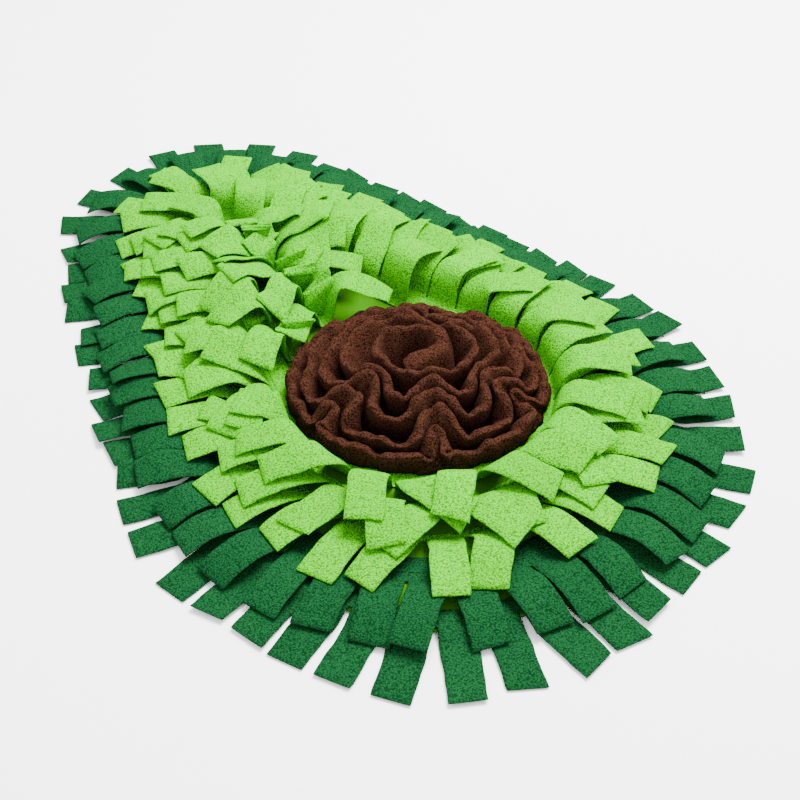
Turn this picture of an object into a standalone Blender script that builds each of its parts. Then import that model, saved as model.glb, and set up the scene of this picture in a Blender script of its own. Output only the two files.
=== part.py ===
"""Snuffle mat in the shape of a halved avocado.

A flat base panel carries rows of fleece fringe, dark green round the edge and light green
inside, and a gathered brown fleece ribbon wound into a rosette. Every row is a sewn-down band
with its strips cut from it, and each strip lies on what was sewn and laid before it.
Run it with: blender --background --python part.py
"""

import math
import random
from collections import namedtuple

import bpy
import numpy as np

# Sizes in metres. The mat lies on z = 0, and +Y runs towards its narrow end.
WIDE_AT = np.array([0.0, -0.110])  # middle of the wide end's circle
NARROW_AT = np.array([0.0, 0.216])  # middle of the narrow end's circle
ROSETTE_AT = np.array([0.014, -0.075])
BELLY = 0.004  # how far the flanks bend outwards
BULGE_AT = -2.1  # direction from the wide circle's middle to the edge's bulge, in radians
BULGE_SPREAD = 0.30
BASE_THICKNESS = 0.003
BASE_POINTS = 90
CLEARANCE = 0.0003  # between pieces that lie on each other

SLIT = 0.0017  # the least gap between two strips at their roots
FLEECE = 0.0021
PILE_GAP = 0.0006  # between a strip and what it lies on
SIDE_GAP = 0.0003  # a laid strip counts this much wider on each side

CENTRE_BAND_Y = (0.038, 0.182)  # where the band along the neck's middle starts and ends

RIBBON_PITCH = 0.0153  # between two turns of the spiral along which the ribbon is sewn down
RIBBON_TURNS = 5.6
RIBBON_START_R = 0.0105
RIBBON_END_AT = 0.55  # direction from the rosette's middle to the ribbon's outer end, in radians
RIBBON_WIDENS = 0.8  # radians over which a turn comes out so far that the outline is round
BACK_AT = 0.97  # the side to which the inner turns are set, in radians
BACK_SHIFT = 0.016
RIBBON_STEP = 0.0062  # along the ribbon's top edge
RIBBON_TAIL = 0.030  # the stretch at each end which tapers
TAIL_HEIGHT = (0.80, 0.45)  # of the inner and outer end, as shares of what it is elsewhere
TAIL_THICKNESS = 0.5
RIBBON_RIM_HEIGHT = 0.023
RIBBON_TOP_HEIGHT = 0.042
RIBBON_DOME = 2.2  # the power by which the height falls off towards the rim
# The folded ribbon's section: half its thickness, at a share of its height.
RIBBON_SECTION = ((0.0054, 0.0), (0.0034, 0.58), (0.0025, 1.0))
ROSETTE_R = 0.100  # how far the ribbon's top edge may reach
RIDGE = 0.0088  # the least distance between two stretches of the top edge

# How the ribbon's gathered top edge settles between its turns
SPIRAL_STEP = 0.0005
FRONT_AT = -2.18  # the side on which it is gathered most, in radians
GATHER = (1.25, 1.75)  # its length for each length that is sewn down, at the back and in front
GATHER_FROM = 0.020  # it is less gathered nearer than this to the middle
GATHER_OVER = 0.020
GATHER_LEAST = 0.15
KICK = 0.006  # how crooked it starts
KICK_SEED = 2
SETTLE_ROUNDS = 400
STRETCH_ROUNDS = 6
FULL_LENGTH_AT = 0.55  # the share of the rounds in which it grows to its length
FIRST_LENGTH = 0.45  # the share of its growth with which it starts
PULL = 0.45  # how much of a wrong length each round mends
BENDING = ((1, 0.25), (2, 0.20))  # points on each side, and how much they straighten a bend
MOST_ASIDE = 0.0150  # how far it may lean from where it is sewn down
ASIDE_PULL = 0.004
NEIGHBOURS = 1.6  # points nearer along the ribbon than this many ridges don't push apart
SURFACE_PLACES = 24  # along each side of a face, where the rosette is marked on the pile

LOOP_STEP = 0.001  # either side of a place on a loop, for its direction
LOOP_POINTS = 1440

# The height grid that says what lies where
CELL = 0.0006
GRID_LOW = np.array([-0.290, -0.410])
GRID_CELLS = (970, 1370)

Loop = namedtuple("Loop", "wide_r narrow_r shift bulge")
Row = namedtuple("Row", "name dye loop strips width band length rise fall swing seed steps")

# shift: 0 keeps a loop's wide circle on the base panel's, 1 sets it round the rosette.
# length: a strip's, root to tip. rise and fall: its slope in degrees where it leaves the band,
# and at its tip. None: it lies limp. swing: how far in degrees it turns aside.
# steps: where it bends, as shares of its length.
LIMP = (0.0, 0.13, 0.36, 1.0)
LOW = (0.0, 0.16, 0.44, 0.72, 1.0)
ARCH = (0.0, 0.10, 0.38, 0.68, 1.0)
BASE_LOOP = Loop(0.186, 0.090, 0.0, 0.018)
LOWER_LOOP = Loop(0.184, 0.088, 0.0, 0.018)
UPPER_LOOP = Loop(0.166, 0.073, 0.1, 0.0)
OUTER_LOOP = Loop(0.131, 0.038, 0.60, 0.014)
MIDDLE_LOOP = Loop(0.117, 0.028, 0.85, 0.006)
INNER_LOOP = Loop(0.107, 0.018, 1.0, 0.0)
ROWS = (
    Row("fringe_dark_lower", "dark", LOWER_LOOP, 52, 0.0265, 0.009, 0.061, None, None, 5, 11, LIMP),
    Row("fringe_dark_upper", "dark", UPPER_LOOP, 48, 0.0272, 0.016, 0.063, 34, -36, 9, 12, LOW),
    Row("fringe_light_outer", "light", OUTER_LOOP, 39, 0.0270, 0.004, 0.066, 34, -32, 20, 13, ARCH),
    Row("fringe_light_middle", "light", MIDDLE_LOOP, 37, 0.0270, 0.004, 0.067, 48, -30, 26, 14, ARCH),
    Row("fringe_light_inner", "light", INNER_LOOP, 34, 0.0270, 0.004, 0.068, 60, -30, 30, 15, ARCH),
)
NECK_ROW = Row(
    "fringe_light_neck", "light", None, 12, 0.0270, 0.004, 0.068, 64, -28, 32, 27, ARCH
)
CENTRE_ROW = Row(
    "fringe_light_centre", "light", None, 6, 0.0250, 0.004, 0.070, 60, -34, 34, 16, ARCH
)
NECK_WIDE = (np.array([0.010, 0.010]), 0.060)  # the neck row's wide circle: middle and radius
NECK_NARROW = (np.array([0.0, 0.192]), 0.008)
NECK_OPEN = 0.34  # share of the neck row's loop left out on the rosette's side

# How a strip is laid
LENGTH_SPREAD = 0.07  # its length varies by this share
MOST_SWING = 1.8  # its swing is at most this many times its row's
RISE_SPREAD = 10.0  # degrees
FALL_SPREAD = 16.0
MOST_ROLL = 8.0
RISE_DONE = 0.06  # share of its length by which it has reached its first slope
SWING_DONE = 0.5  # share of its length by which it has turned aside
PATH_STEPS = 200
MOST_TILT = 0.008  # how much higher one side of it may be pushed than the other
STIFFNESS = 0.5  # how much of a bend's lift its neighbours get
TRIES = 9  # ways in which it is tried before it is laid in the best of them
STRETCH = 1.04  # its greatest length, as a share of what was cut
SHORTENINGS = 3  # times it is drawn in to keep to that length
ROOT_COST = 2.0  # how much a lift at its first bend counts against a way of laying it
ROOT_FREE = 0.3  # share of its first stretch that isn't held off the pile
ROUNDS = 60  # of lifting
TOUCH = 1e-6  # as good as clear
REST_PITCH = 2.0  # cells between the places where it is held off the pile
COVER_PITCH = 0.7  # cells between the places where it is marked on the pile
COVER_ASIDE = 0.75  # cells by which each place is marked too wide

DYES = {
    "base": (0.36, 0.62, 0.10),
    "dark": (0.014, 0.135, 0.050),
    "light": (0.30, 0.78, 0.06),
    "brown": (0.085, 0.022, 0.010),
}


def clear_scene():
    for leftover in list(bpy.data.objects):
        bpy.data.objects.remove(leftover)


def fleece_material(dye):
    material = bpy.data.materials.new("fleece_" + dye)
    material.use_nodes = True
    shader = material.node_tree.nodes["Principled BSDF"]
    shader.inputs["Base Color"].default_value = (*DYES[dye], 1.0)
    shader.inputs["Roughness"].default_value = 0.95
    shader.inputs["Metallic"].default_value = 0.0
    return material


class Shape:
    """Points and faces of one closed solid, gathered piece by piece."""

    def __init__(self):
        self.points = []
        self.faces = []

    def add(self, points):
        first = len(self.points)
        self.points.extend(np.asarray(points, float).tolist())
        return list(range(first, first + len(points)))

    def tube(self, ring, following):
        count = len(ring)
        for i in range(count):
            j = (i + 1) % count
            self.faces.append((ring[i], ring[j], following[j], following[i]))

    def strip(self, root, rings):
        """A strip that grows out of the face whose four corners are root.

        Its top and its underside are cut along the same diagonals, so that they stay parallel
        where it twists, and its sides so that a steep root stays clear of the band.
        """
        before = root
        for ring in rings[1:]:
            after = self.add(ring)
            self.faces.append((before[0], before[1], after[1]))
            self.faces.append((before[0], after[1], after[0]))
            self.faces.append((before[1], before[2], after[1]))
            self.faces.append((before[2], after[2], after[1]))
            self.faces.append((before[2], before[3], after[2]))
            self.faces.append((before[3], after[3], after[2]))
            self.faces.append((before[3], before[0], after[0]))
            self.faces.append((before[3], after[0], after[3]))
            before = after
        self.faces.append(tuple(before))

    def solid(self, name, material):
        mesh = bpy.data.meshes.new(name)
        mesh.from_pydata(self.points, [], self.faces)
        mesh.materials.append(material)
        mesh.shade_flat()
        thing = bpy.data.objects.new(name, mesh)
        bpy.context.scene.collection.objects.link(thing)
        return thing


# Outlines


def pear_loop(wide, wide_r, narrow, narrow_r, belly, bulge):
    """Points of a pear outline and its length along them, counter-clockwise from the wide end."""
    reach = np.linalg.norm(narrow - wide)
    lean = math.asin((wide_r - narrow_r) / reach)
    quarter = math.pi / 2
    share = np.linspace(0.0, 1.0, LOOP_POINTS // 4)
    facing = np.array([math.cos(lean), math.sin(lean)])
    turn = -quarter + share * (quarter + lean)
    wide_arc = wide_r * np.stack([np.cos(turn), np.sin(turn)], 1)
    along = share[1:-1, None]
    flank = wide_arc[-1] + along * ([0.0, reach] + narrow_r * facing - wide_arc[-1])
    flank += belly * np.sin(math.pi * along) ** 2 * facing
    turn = lean + share * (quarter - lean)
    narrow_arc = [0.0, reach] + narrow_r * np.stack([np.cos(turn), np.sin(turn)], 1)
    right = np.concatenate([wide_arc, flank, narrow_arc])
    points = np.concatenate([right, right[-2::-1] * [-1.0, 1.0]])
    axis = (narrow - wide) / reach
    points = points @ np.array([[axis[1], -axis[0]], [axis[0], axis[1]]])
    away = np.arctan2(points[:, 1], points[:, 0]) - BULGE_AT
    facing = points / np.linalg.norm(points, axis=1)[:, None]
    points += bulge * np.exp(-0.5 * (away / BULGE_SPREAD) ** 2)[:, None] * facing
    length = np.concatenate([[0.0], np.cumsum(np.linalg.norm(np.diff(points, axis=0), axis=1))])
    return wide + points, length


def row_loop(loop):
    wide = WIDE_AT + loop.shift * (ROSETTE_AT - WIDE_AT)
    belly = BELLY * (1.0 - loop.shift)
    return pear_loop(wide, loop.wide_r, NARROW_AT, loop.narrow_r, belly, loop.bulge)


def loop_at(loop, distance):
    """The point at a distance along a loop, and the unit vector out of the loop there."""
    points, length = loop
    at = [(distance + step) % length[-1] for step in (0.0, LOOP_STEP, -LOOP_STEP)]
    x = np.interp(at, length, points[:, 0])
    y = np.interp(at, length, points[:, 1])
    out = np.array([y[1] - y[2], x[2] - x[1]])
    return np.array([x[0], y[0]]), out / np.linalg.norm(out)


def outward(near, far):
    """Unit vector that points out of a counter-clockwise loop between two of its points."""
    chord = (far - near) / np.linalg.norm(far - near)
    return np.array([chord[1], -chord[0]])


# The pile


class Pile:
    """The lowest height at which cloth may still be laid, on a grid over the mat."""

    def __init__(self):
        self.free = np.zeros(GRID_CELLS)

    def cell(self, plan):
        index = ((plan - GRID_LOW) / CELL).astype(int)
        return index[:, 0], index[:, 1]

    def height(self, plan):
        return self.free[self.cell(plan)]

    def cover(self, plan, top):
        """Raises the cells at and beside each place."""
        for aside in ((-1, -1), (-1, 1), (1, -1), (1, 1)):
            np.maximum.at(self.free, self.cell(plan + np.array(aside) * CELL * COVER_ASIDE), top)

    def cover_inside(self, loop, top):
        """Raises all that lies within a closed loop, and a cell more."""
        x = GRID_LOW[0] + (np.arange(GRID_CELLS[0]) + 0.5) * CELL
        y = GRID_LOW[1] + (np.arange(GRID_CELLS[1]) + 0.5) * CELL
        inside = np.zeros(GRID_CELLS, bool)
        for start, end in zip(loop[0][:-1], loop[0][1:]):
            rows = np.nonzero((y >= min(start[1], end[1])) & (y < max(start[1], end[1])))[0]
            if len(rows):
                edge_x = start[0] + (y[rows] - start[1]) * (end[0] - start[0]) / (end[1] - start[1])
                inside[:, rows] ^= x[:, None] < edge_x
        for axis in (0, 1):
            inside = inside | np.roll(inside, 1, axis) | np.roll(inside, -1, axis)
        self.free[inside] = np.maximum(self.free[inside], top)


def patch_weights(along, across):
    """How much a patch's corners count at places on it: near left and right, far left and right.

    The patch is two triangles that meet on the diagonal from near left to far right.
    """
    none = np.zeros_like(along)
    right = np.stack([1 - across, across - along, none, along], 1)
    left = np.stack([1 - along, none, along - across, across], 1)
    return np.where((across >= along)[:, None], right, left)


def patch_places(corners, spread, first, pitch):
    """Shares along and across a patch, evenly, and past its sides by spread."""
    reach = np.linalg.norm(corners[1] - corners[0], axis=1).max()
    width = np.linalg.norm(corners[1, 1] - corners[1, 0])
    rows = max(3, int(reach / pitch) + 2)
    columns = int(width / pitch) + 2
    over = spread / width
    along, across = np.meshgrid(
        np.linspace(first, 1.0, rows), np.linspace(-over, 1.0 + over, columns), indexing="ij"
    )
    return along.ravel(), across.ravel()


def cover_strip(pile, rings):
    for near, far in zip(rings[:-1], rings[1:]):
        corners = np.array([[near[3], near[2]], [far[3], far[2]]])
        weights = patch_weights(*patch_places(corners[:, :, :2], SIDE_GAP, 0.0, CELL * COVER_PITCH))
        places = weights @ corners.reshape(4, 3)
        pile.cover(places[:, :2], places[:, 2] + PILE_GAP)


def rest_on(pile, corners, wish, stiffness):
    """Lifts a strip's corners from their wished heights until it is clear of the pile."""
    bends = len(corners)
    blocks = []
    for bend in range(bends - 1):
        first = ROOT_FREE if bend == 0 else 0.0
        places = patch_places(corners[bend : bend + 2], 0.0, first, CELL * REST_PITCH)
        weights = np.zeros((len(places[0]), bends * 2))
        weights[:, 2 * bend : 2 * bend + 4] = patch_weights(*places)
        blocks.append(weights)
    weights = np.concatenate(blocks)
    needed = pile.height(weights @ corners.reshape(-1, 2))
    movable = weights.copy()
    movable[:, :2] = 0.0
    power = (movable**2).sum(1)
    lift = np.zeros((bends, 2))
    for _ in range(ROUNDS):
        short = needed - weights @ (wish + lift).ravel()
        if short.max() < TOUCH:
            break
        push = (np.clip(short, 0.0, None) / power)[:, None] * movable
        lift += push.max(0).reshape(bends, 2)
        for bend in range(1, bends - 1):
            lift[bend] = np.maximum(lift[bend], stiffness * lift[bend + 1])
        for bend in range(2, bends):
            lift[bend] = np.maximum(lift[bend], stiffness * lift[bend - 1])
        lift[1:] = np.maximum(lift[1:], lift[1:, ::-1] - MOST_TILT)
    return lift


# Strips and bands


def strip_rings(under):
    """The four corners at each bend of a strip, from its underside's two sides."""
    along = np.gradient(under.mean(axis=1), axis=0)
    normal = np.cross(along, under[:, 1] - under[:, 0])
    normal /= np.linalg.norm(normal, axis=1)[:, None]
    normal[0] = (0.0, 0.0, 1.0)
    top = under + FLEECE * normal[:, None, :]
    return np.stack([under[:, 0], under[:, 1], top[:, 1], top[:, 0]], axis=1)


def strip_path(row, near, far, length, swing, slopes, roll):
    """Where a strip's sides run in plan, and how high they would, if nothing lay below."""
    share = np.linspace(0.0, 1.0, PATH_STEPS + 1)
    slope = np.zeros(PATH_STEPS + 1)
    if row.rise is not None:
        rise = row.rise + slopes[0] * RISE_SPREAD
        fall = row.fall + slopes[1] * FALL_SPREAD
        slope = np.radians(rise + (fall - rise) * share) * np.clip(share / RISE_DONE, 0.0, 1.0)
    facing = outward(near, far)
    turn = np.clip(share / SWING_DONE, 0.0, 1.0)
    heading = math.atan2(facing[1], facing[0]) + swing * turn * turn * (3 - 2 * turn)
    out = np.cos(slope) * length / PATH_STEPS
    path = np.cumsum(np.stack([np.cos(heading) * out, np.sin(heading) * out], 1), axis=0)
    up = np.cumsum(np.sin(slope)) * length / PATH_STEPS
    at = (np.array(row.steps) * PATH_STEPS).astype(int)
    centre = (near + far) / 2 + path[at] - path[0]
    side = np.stack([np.sin(heading[at]), -np.cos(heading[at])], 1) * row.width / 2
    corners = np.stack([centre + side, centre - side], 1)
    corners[0] = (near, far)
    floor = BASE_THICKNESS + CLEARANCE
    wish = np.zeros((len(at), 2))
    if row.rise is not None:
        tilt = math.tan(math.radians(MOST_ROLL * roll)) * row.width / 2 * np.array(row.steps)
        wish = (up[at] + floor)[:, None] + tilt[:, None] * [1.0, -1.0]
    wish[0] = floor
    return corners, np.maximum(wish, 0.0)


def try_strip(pile, row, near, far, draw):
    """One way in which a strip may lie: what it costs, and its underside."""
    length = row.length * draw.uniform(1.0 - LENGTH_SPREAD, 1.0 + LENGTH_SPREAD)
    swing = math.radians(max(-MOST_SWING, min(MOST_SWING, draw.gauss(0.0, 1.0))) * row.swing)
    slopes = draw.uniform(-1.0, 1.0), draw.uniform(-1.0, 1.0)
    roll = draw.uniform(-1.0, 1.0)
    reach = length
    for _ in range(SHORTENINGS):
        corners, wish = strip_path(row, near, far, reach, swing, slopes, roll)
        lift = rest_on(pile, corners, wish, 0.0 if row.rise is None else STIFFNESS)
        under = np.concatenate([corners, (wish + lift)[:, :, None]], 2)
        spine = under.mean(axis=1)
        laid = np.linalg.norm(np.diff(spine, axis=0), axis=1).sum()
        if laid <= length * STRETCH:
            break
        reach *= length * STRETCH / laid
    strain = max(0.0, laid / length - STRETCH)
    return lift.max() + ROOT_COST * lift[1].max() + strain * length, under


def lay_strip(pile, row, near, far, draw):
    """Lays one strip that leaves its band between two root points, and returns its rings."""
    tries = [try_strip(pile, row, near, far, draw) for _ in range(TRIES)]
    cost, under = min(tries, key=lambda one: one[0])
    rings = strip_rings(under)
    cover_strip(pile, rings)
    return rings


def band_heights():
    low = BASE_THICKNESS + CLEARANCE
    return low, low + FLEECE


def lay_all(pile, row, roots):
    """Lays a row's strips one by one, in a mixed order, and returns their rings by number."""
    draw = random.Random(row.seed)
    order = list(range(len(roots)))
    draw.shuffle(order)
    laid = {}
    for number in order:
        (near, _), (far, _) = roots[number]
        laid[number] = lay_strip(pile, row, near, far, draw)
    return laid


def loop_roots(loop, row, opening=0.0):
    """Each strip's two root points on a loop, evenly, with a share of it left out at its start."""
    start = loop[1][-1] * opening / 2
    pitch = loop[1][-1] * (1.0 - opening) / row.strips
    half = min(row.width, pitch - SLIT) / 2
    middles = [start + (number + 0.5) * pitch for number in range(row.strips)]
    return [[loop_at(loop, middle + side * half) for side in (-1, 1)] for middle in middles]


def loop_band(row, roots, laid, closed):
    """A band of cloth along a loop, with its strips growing out of its outer side."""
    shape = Shape()
    low, high = band_heights()
    sections = []
    for point, out in [end for root in roots for end in root]:
        inner = point - out * row.band
        corners = [(*point, low), (*point, high), (*inner, high), (*inner, low)]
        sections.append(shape.add(corners))
    following = sections[1:] + sections[:1] if closed else sections[1:]
    for number, (near, far) in enumerate(zip(sections, following)):
        for i in (1, 2, 3):
            j = (i + 1) % 4
            shape.faces.append((near[j], near[i], far[i], far[j]))
        root = (near[0], far[0], far[1], near[1])
        if number % 2 == 0:
            shape.strip(root, laid[number // 2])
        else:
            shape.faces.append(root)
    if not closed:
        shape.faces.append(tuple(sections[0]))
        shape.faces.append(tuple(reversed(sections[-1])))
    return shape


def centre_roots(row):
    """Root points on both sides of the straight band, up its right side and down its left."""
    start, end = CENTRE_BAND_Y
    pitch = (end - start) / row.strips
    half = min(row.width, pitch - SLIT) / 2
    middles = [start + (number + 0.5) * pitch for number in range(row.strips)]
    roots = []
    for side in (1.0, -1.0):
        out = np.array([side, 0.0])
        for y in middles:
            ends = (y - side * half, y + side * half)
            roots.append([(np.array([side * row.band, end]), out) for end in ends])
    return roots


def centre_band(row, roots, laid):
    """A straight band with strips growing out of both of its long sides."""
    shape = Shape()
    low, high = band_heights()
    sections = []
    for (x, y), _ in [end for root in roots[: row.strips] for end in root]:
        sections.append(shape.add([(x, y, low), (x, y, high), (-x, y, high), (-x, y, low)]))
    shape.faces.append(tuple(sections[0]))
    for number, (near, far) in enumerate(zip(sections[:-1], sections[1:])):
        shape.faces.append((near[2], near[1], far[1], far[2]))
        shape.faces.append((near[0], near[3], far[3], far[0]))
        right = (near[0], far[0], far[1], near[1])
        left = (far[3], near[3], near[2], far[2])
        if number % 2 == 0:
            shape.strip(right, laid[number // 2])
            shape.strip(left, laid[row.strips + number // 2])
        else:
            shape.faces.append(right)
            shape.faces.append(left)
    shape.faces.append(tuple(reversed(sections[-1])))
    return shape


def cover_band(pile, ends, row):
    """Marks a loop's band on the pile, from the points and outward directions along it."""
    top = band_heights()[1] + PILE_GAP
    points = np.array([point for point, _ in ends])
    out = np.array([direction for _, direction in ends])
    for depth in np.arange(0.0, row.band + CELL / 2, CELL / 2):
        pile.cover(points - out * depth, np.full(len(points), top))


def base_panel():
    loop = row_loop(BASE_LOOP)
    rim = [loop_at(loop, loop[1][-1] * number / BASE_POINTS)[0] for number in range(BASE_POINTS)]
    shape = Shape()
    low = shape.add([(*point, 0.0) for point in rim])
    high = shape.add([(*point, BASE_THICKNESS) for point in rim])
    shape.tube(low, high)
    shape.faces.append(tuple(reversed(low)))
    shape.faces.append(tuple(high))
    return shape


# The rosette


def ribbon_foot():
    """Where the ribbon is sewn down, at even steps of the ribbon's top edge, and that step."""
    span = 2 * math.pi * RIBBON_TURNS
    angle = [0.0]
    while angle[-1] < span:
        radius = RIBBON_START_R + RIBBON_PITCH * angle[-1] / (2 * math.pi)
        angle.append(min(span, angle[-1] + SPIRAL_STEP / radius))
    angle = np.array(angle)
    turn = angle + RIBBON_END_AT - span
    own = 2 * math.pi - (span - angle) % (2 * math.pi)
    rim = RIBBON_START_R + RIBBON_PITCH * RIBBON_TURNS
    last = rim - RIBBON_PITCH * (1.0 - own / (2 * math.pi))
    widens = np.clip(own / RIBBON_WIDENS, 0.0, 1.0)
    widens = widens * widens * (3 - 2 * widens)
    radius = RIBBON_START_R + RIBBON_PITCH * angle / (2 * math.pi)
    radius *= 1.0 + (rim / last - 1.0) * widens
    back = BACK_SHIFT * np.array([math.cos(BACK_AT), math.sin(BACK_AT)])
    spiral = np.stack([radius * np.cos(turn), radius * np.sin(turn)], 1)
    spiral += (1.0 - radius / rim)[:, None] * back
    in_front = 0.5 + 0.5 * np.cos(turn - FRONT_AT)
    gather = GATHER[0] - 1.0 + (GATHER[1] - GATHER[0]) * in_front
    gather = 1.0 + gather * np.clip((radius - GATHER_FROM) / GATHER_OVER, GATHER_LEAST, 1.0)
    pieces = np.linalg.norm(np.diff(spiral, axis=0), axis=1) * (gather[1:] + gather[:-1]) / 2
    cloth = np.concatenate([[0.0], np.cumsum(pieces)])
    at = np.linspace(0.0, cloth[-1], int(cloth[-1] / RIBBON_STEP))
    foot = np.stack([np.interp(at, cloth, spiral[:, 0]), np.interp(at, cloth, spiral[:, 1])], 1)
    return foot, at[1]


def keep_lengths(top, want):
    gap = np.diff(top, axis=0)
    length = np.linalg.norm(gap, axis=1)
    push = ((length - want) / length)[:, None] * gap * PULL
    top[:-1] += push
    top[1:] -= push


def straighten(top):
    for hop, share in BENDING:
        pull = ((top[: -2 * hop] + top[2 * hop :]) / 2 - top[hop:-hop]) * share
        top[hop:-hop] += pull
        top[: -2 * hop] -= pull / 2
        top[2 * hop :] -= pull / 2


def push_apart(top, distant):
    between = top[:, None, :] - top[None, :, :]
    length = np.sqrt((between**2).sum(2)) + TOUCH
    short = np.where(distant, np.clip(RIDGE - length, 0.0, None), 0.0)
    push = ((short / length)[:, :, None] * between).sum(1)
    top += push / 2 / np.sqrt(np.maximum((short > 0).sum(1), 1))[:, None]


def draw_in(top, foot):
    """Holds the top edge to its seam and inside the rosette."""
    aside = top - foot
    far = np.linalg.norm(aside, axis=1)
    top -= aside * (np.clip(far - MOST_ASIDE, 0.0, None) / (far + TOUCH) / 2 + ASIDE_PULL)[:, None]
    radius = np.linalg.norm(top, axis=1)
    top -= top * (np.clip(radius - ROSETTE_R, 0.0, None) / (radius + TOUCH))[:, None]


def ribbon_top(foot, step):
    """The gathered top edge in plan, folded and settled so that no two stretches touch."""
    count = len(foot)
    draw = random.Random(KICK_SEED)
    kick = np.array([[draw.gauss(0.0, 1.0), draw.gauss(0.0, 1.0)] for _ in range(count)])
    for _ in range(3):
        kick[1:-1] = (kick[:-2] + kick[1:-1] + kick[2:]) / 3
    top = foot + kick * KICK
    along = np.arange(count)
    distant = np.abs(along[:, None] - along[None, :]) > math.ceil(RIDGE * NEIGHBOURS / step)
    sewn = np.linalg.norm(np.diff(foot, axis=0), axis=1)
    for number in range(SETTLE_ROUNDS):
        growth = (1.0 - FIRST_LENGTH) * number / (SETTLE_ROUNDS * FULL_LENGTH_AT)
        want = sewn + (step - sewn) * min(1.0, FIRST_LENGTH + growth)
        for _ in range(STRETCH_ROUNDS):
            keep_lengths(top, want)
        straighten(top)
        push_apart(top, distant)
        draw_in(top, foot)
    return top


def ribbon_heights(top, step):
    """How high the ribbon stands along its length, and how much its ends taper."""
    along = np.arange(len(top)) * step
    taper = np.clip(np.minimum(along, along[-1] - along) / RIBBON_TAIL, 0.0, 1.0)
    taper = np.sin(taper * math.pi / 2)
    least = np.where(along < along[-1] / 2, *TAIL_HEIGHT)
    rim = np.linalg.norm(top, axis=1) / ROSETTE_R
    height = RIBBON_TOP_HEIGHT + (RIBBON_RIM_HEIGHT - RIBBON_TOP_HEIGHT) * rim**RIBBON_DOME
    return height * (least + (1.0 - least) * taper), taper


def rosette_sections():
    """The wound and gathered ribbon's sections, where it is sewn down."""
    foot, step = ribbon_foot()
    top = ribbon_top(foot, step)
    height, taper = ribbon_heights(top, step)
    thick = TAIL_THICKNESS + (1.0 - TAIL_THICKNESS) * taper
    sides = {}
    for half, share in RIBBON_SECTION:
        middle = foot + (top - foot) * share
        along = np.gradient(middle, axis=0)
        aside = np.stack([along[:, 1], -along[:, 0]], 1) / np.linalg.norm(along, axis=1)[:, None]
        for side in (1.0, -1.0):
            plan = middle + aside * (side * half * thick)[:, None] + ROSETTE_AT
            z = BASE_THICKNESS + CLEARANCE + height * share
            sides[side, share] = np.concatenate([plan, z[:, None]], 1)
    shares = [share for _, share in RIBBON_SECTION]
    outline = [sides[1.0, share] for share in shares]
    outline += [sides[-1.0, share] for share in reversed(shares)]
    return np.stack(outline, 1)


def cover_rosette(pile, sections):
    share = np.linspace(0.0, 1.0, SURFACE_PLACES)
    along, across = np.meshgrid(share, share, indexing="ij")
    weights = patch_weights(along.ravel(), across.ravel())
    for near, far in zip(sections[:-1], sections[1:]):
        for i in range(len(near)):
            j = (i + 1) % len(near)
            places = weights @ np.array([near[i], near[j], far[i], far[j]])
            pile.cover(places[:, :2], places[:, 2] + PILE_GAP)


def rosette(sections):
    shape = Shape()
    laid = [shape.add(section) for section in sections]
    shape.faces.append(tuple(laid[0]))
    for ring, following in zip(laid[:-1], laid[1:]):
        shape.tube(following, ring)
    shape.faces.append(tuple(reversed(laid[-1])))
    return shape


def build():
    clear_scene()
    materials = {dye: fleece_material(dye) for dye in DYES}
    base_panel().solid("base_panel", materials["base"])
    pile = Pile()
    pile.cover_inside(row_loop(BASE_LOOP), band_heights()[0])
    loops = [row_loop(row.loop) for row in ROWS]
    for row, loop in zip(ROWS, loops):
        ends = [loop_at(loop, distance) for distance in np.arange(0.0, loop[1][-1], CELL / 2)]
        cover_band(pile, ends, row)
    for row, loop in zip(ROWS, loops):
        roots = loop_roots(loop, row)
        laid = lay_all(pile, row, roots)
        loop_band(row, roots, laid, True).solid(row.name, materials[row.dye])
    ribbon = rosette_sections()
    cover_rosette(pile, ribbon)
    roots = loop_roots(pear_loop(*NECK_WIDE, *NECK_NARROW, 0.0, 0.0), NECK_ROW, NECK_OPEN)
    laid = lay_all(pile, NECK_ROW, roots)
    loop_band(NECK_ROW, roots, laid, False).solid(NECK_ROW.name, materials[NECK_ROW.dye])
    roots = centre_roots(CENTRE_ROW)
    laid = lay_all(pile, CENTRE_ROW, roots)
    centre_band(CENTRE_ROW, roots, laid).solid(CENTRE_ROW.name, materials[CENTRE_ROW.dye])
    rosette(ribbon).solid("rosette", materials["brown"])


if __name__ == "__main__":
    build()
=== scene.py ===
"""Snuffle mat in the shape of a halved avocado.

Rows of cut fleece fringe, dark green round the edge and light green inside, are sewn to a flat
base panel round a rosette of gathered brown fleece. The strips are laid one by one, each on
whatever was sewn and laid before it, as cloth that bends smoothly over what it lies on.
"""

import math
import random
from collections import namedtuple

import bpy
import numpy as np
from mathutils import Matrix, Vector, noise


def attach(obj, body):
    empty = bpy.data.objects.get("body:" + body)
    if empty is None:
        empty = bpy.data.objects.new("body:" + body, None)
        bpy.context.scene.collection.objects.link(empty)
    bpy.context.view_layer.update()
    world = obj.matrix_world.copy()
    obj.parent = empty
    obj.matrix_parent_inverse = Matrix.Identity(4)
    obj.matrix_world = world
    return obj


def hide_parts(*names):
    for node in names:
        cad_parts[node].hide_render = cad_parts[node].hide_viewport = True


bl_info = {
    "name": "Avocado snuffle mat",
    "version": (1, 0, 0),
    "blender": (4, 5, 0),
    "location": "3D View > Sidebar > Snuffle mat",
    "description": "Lays the fleece fringe of a snuffle mat and winds its rosette",
    "category": "Object",
}

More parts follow.
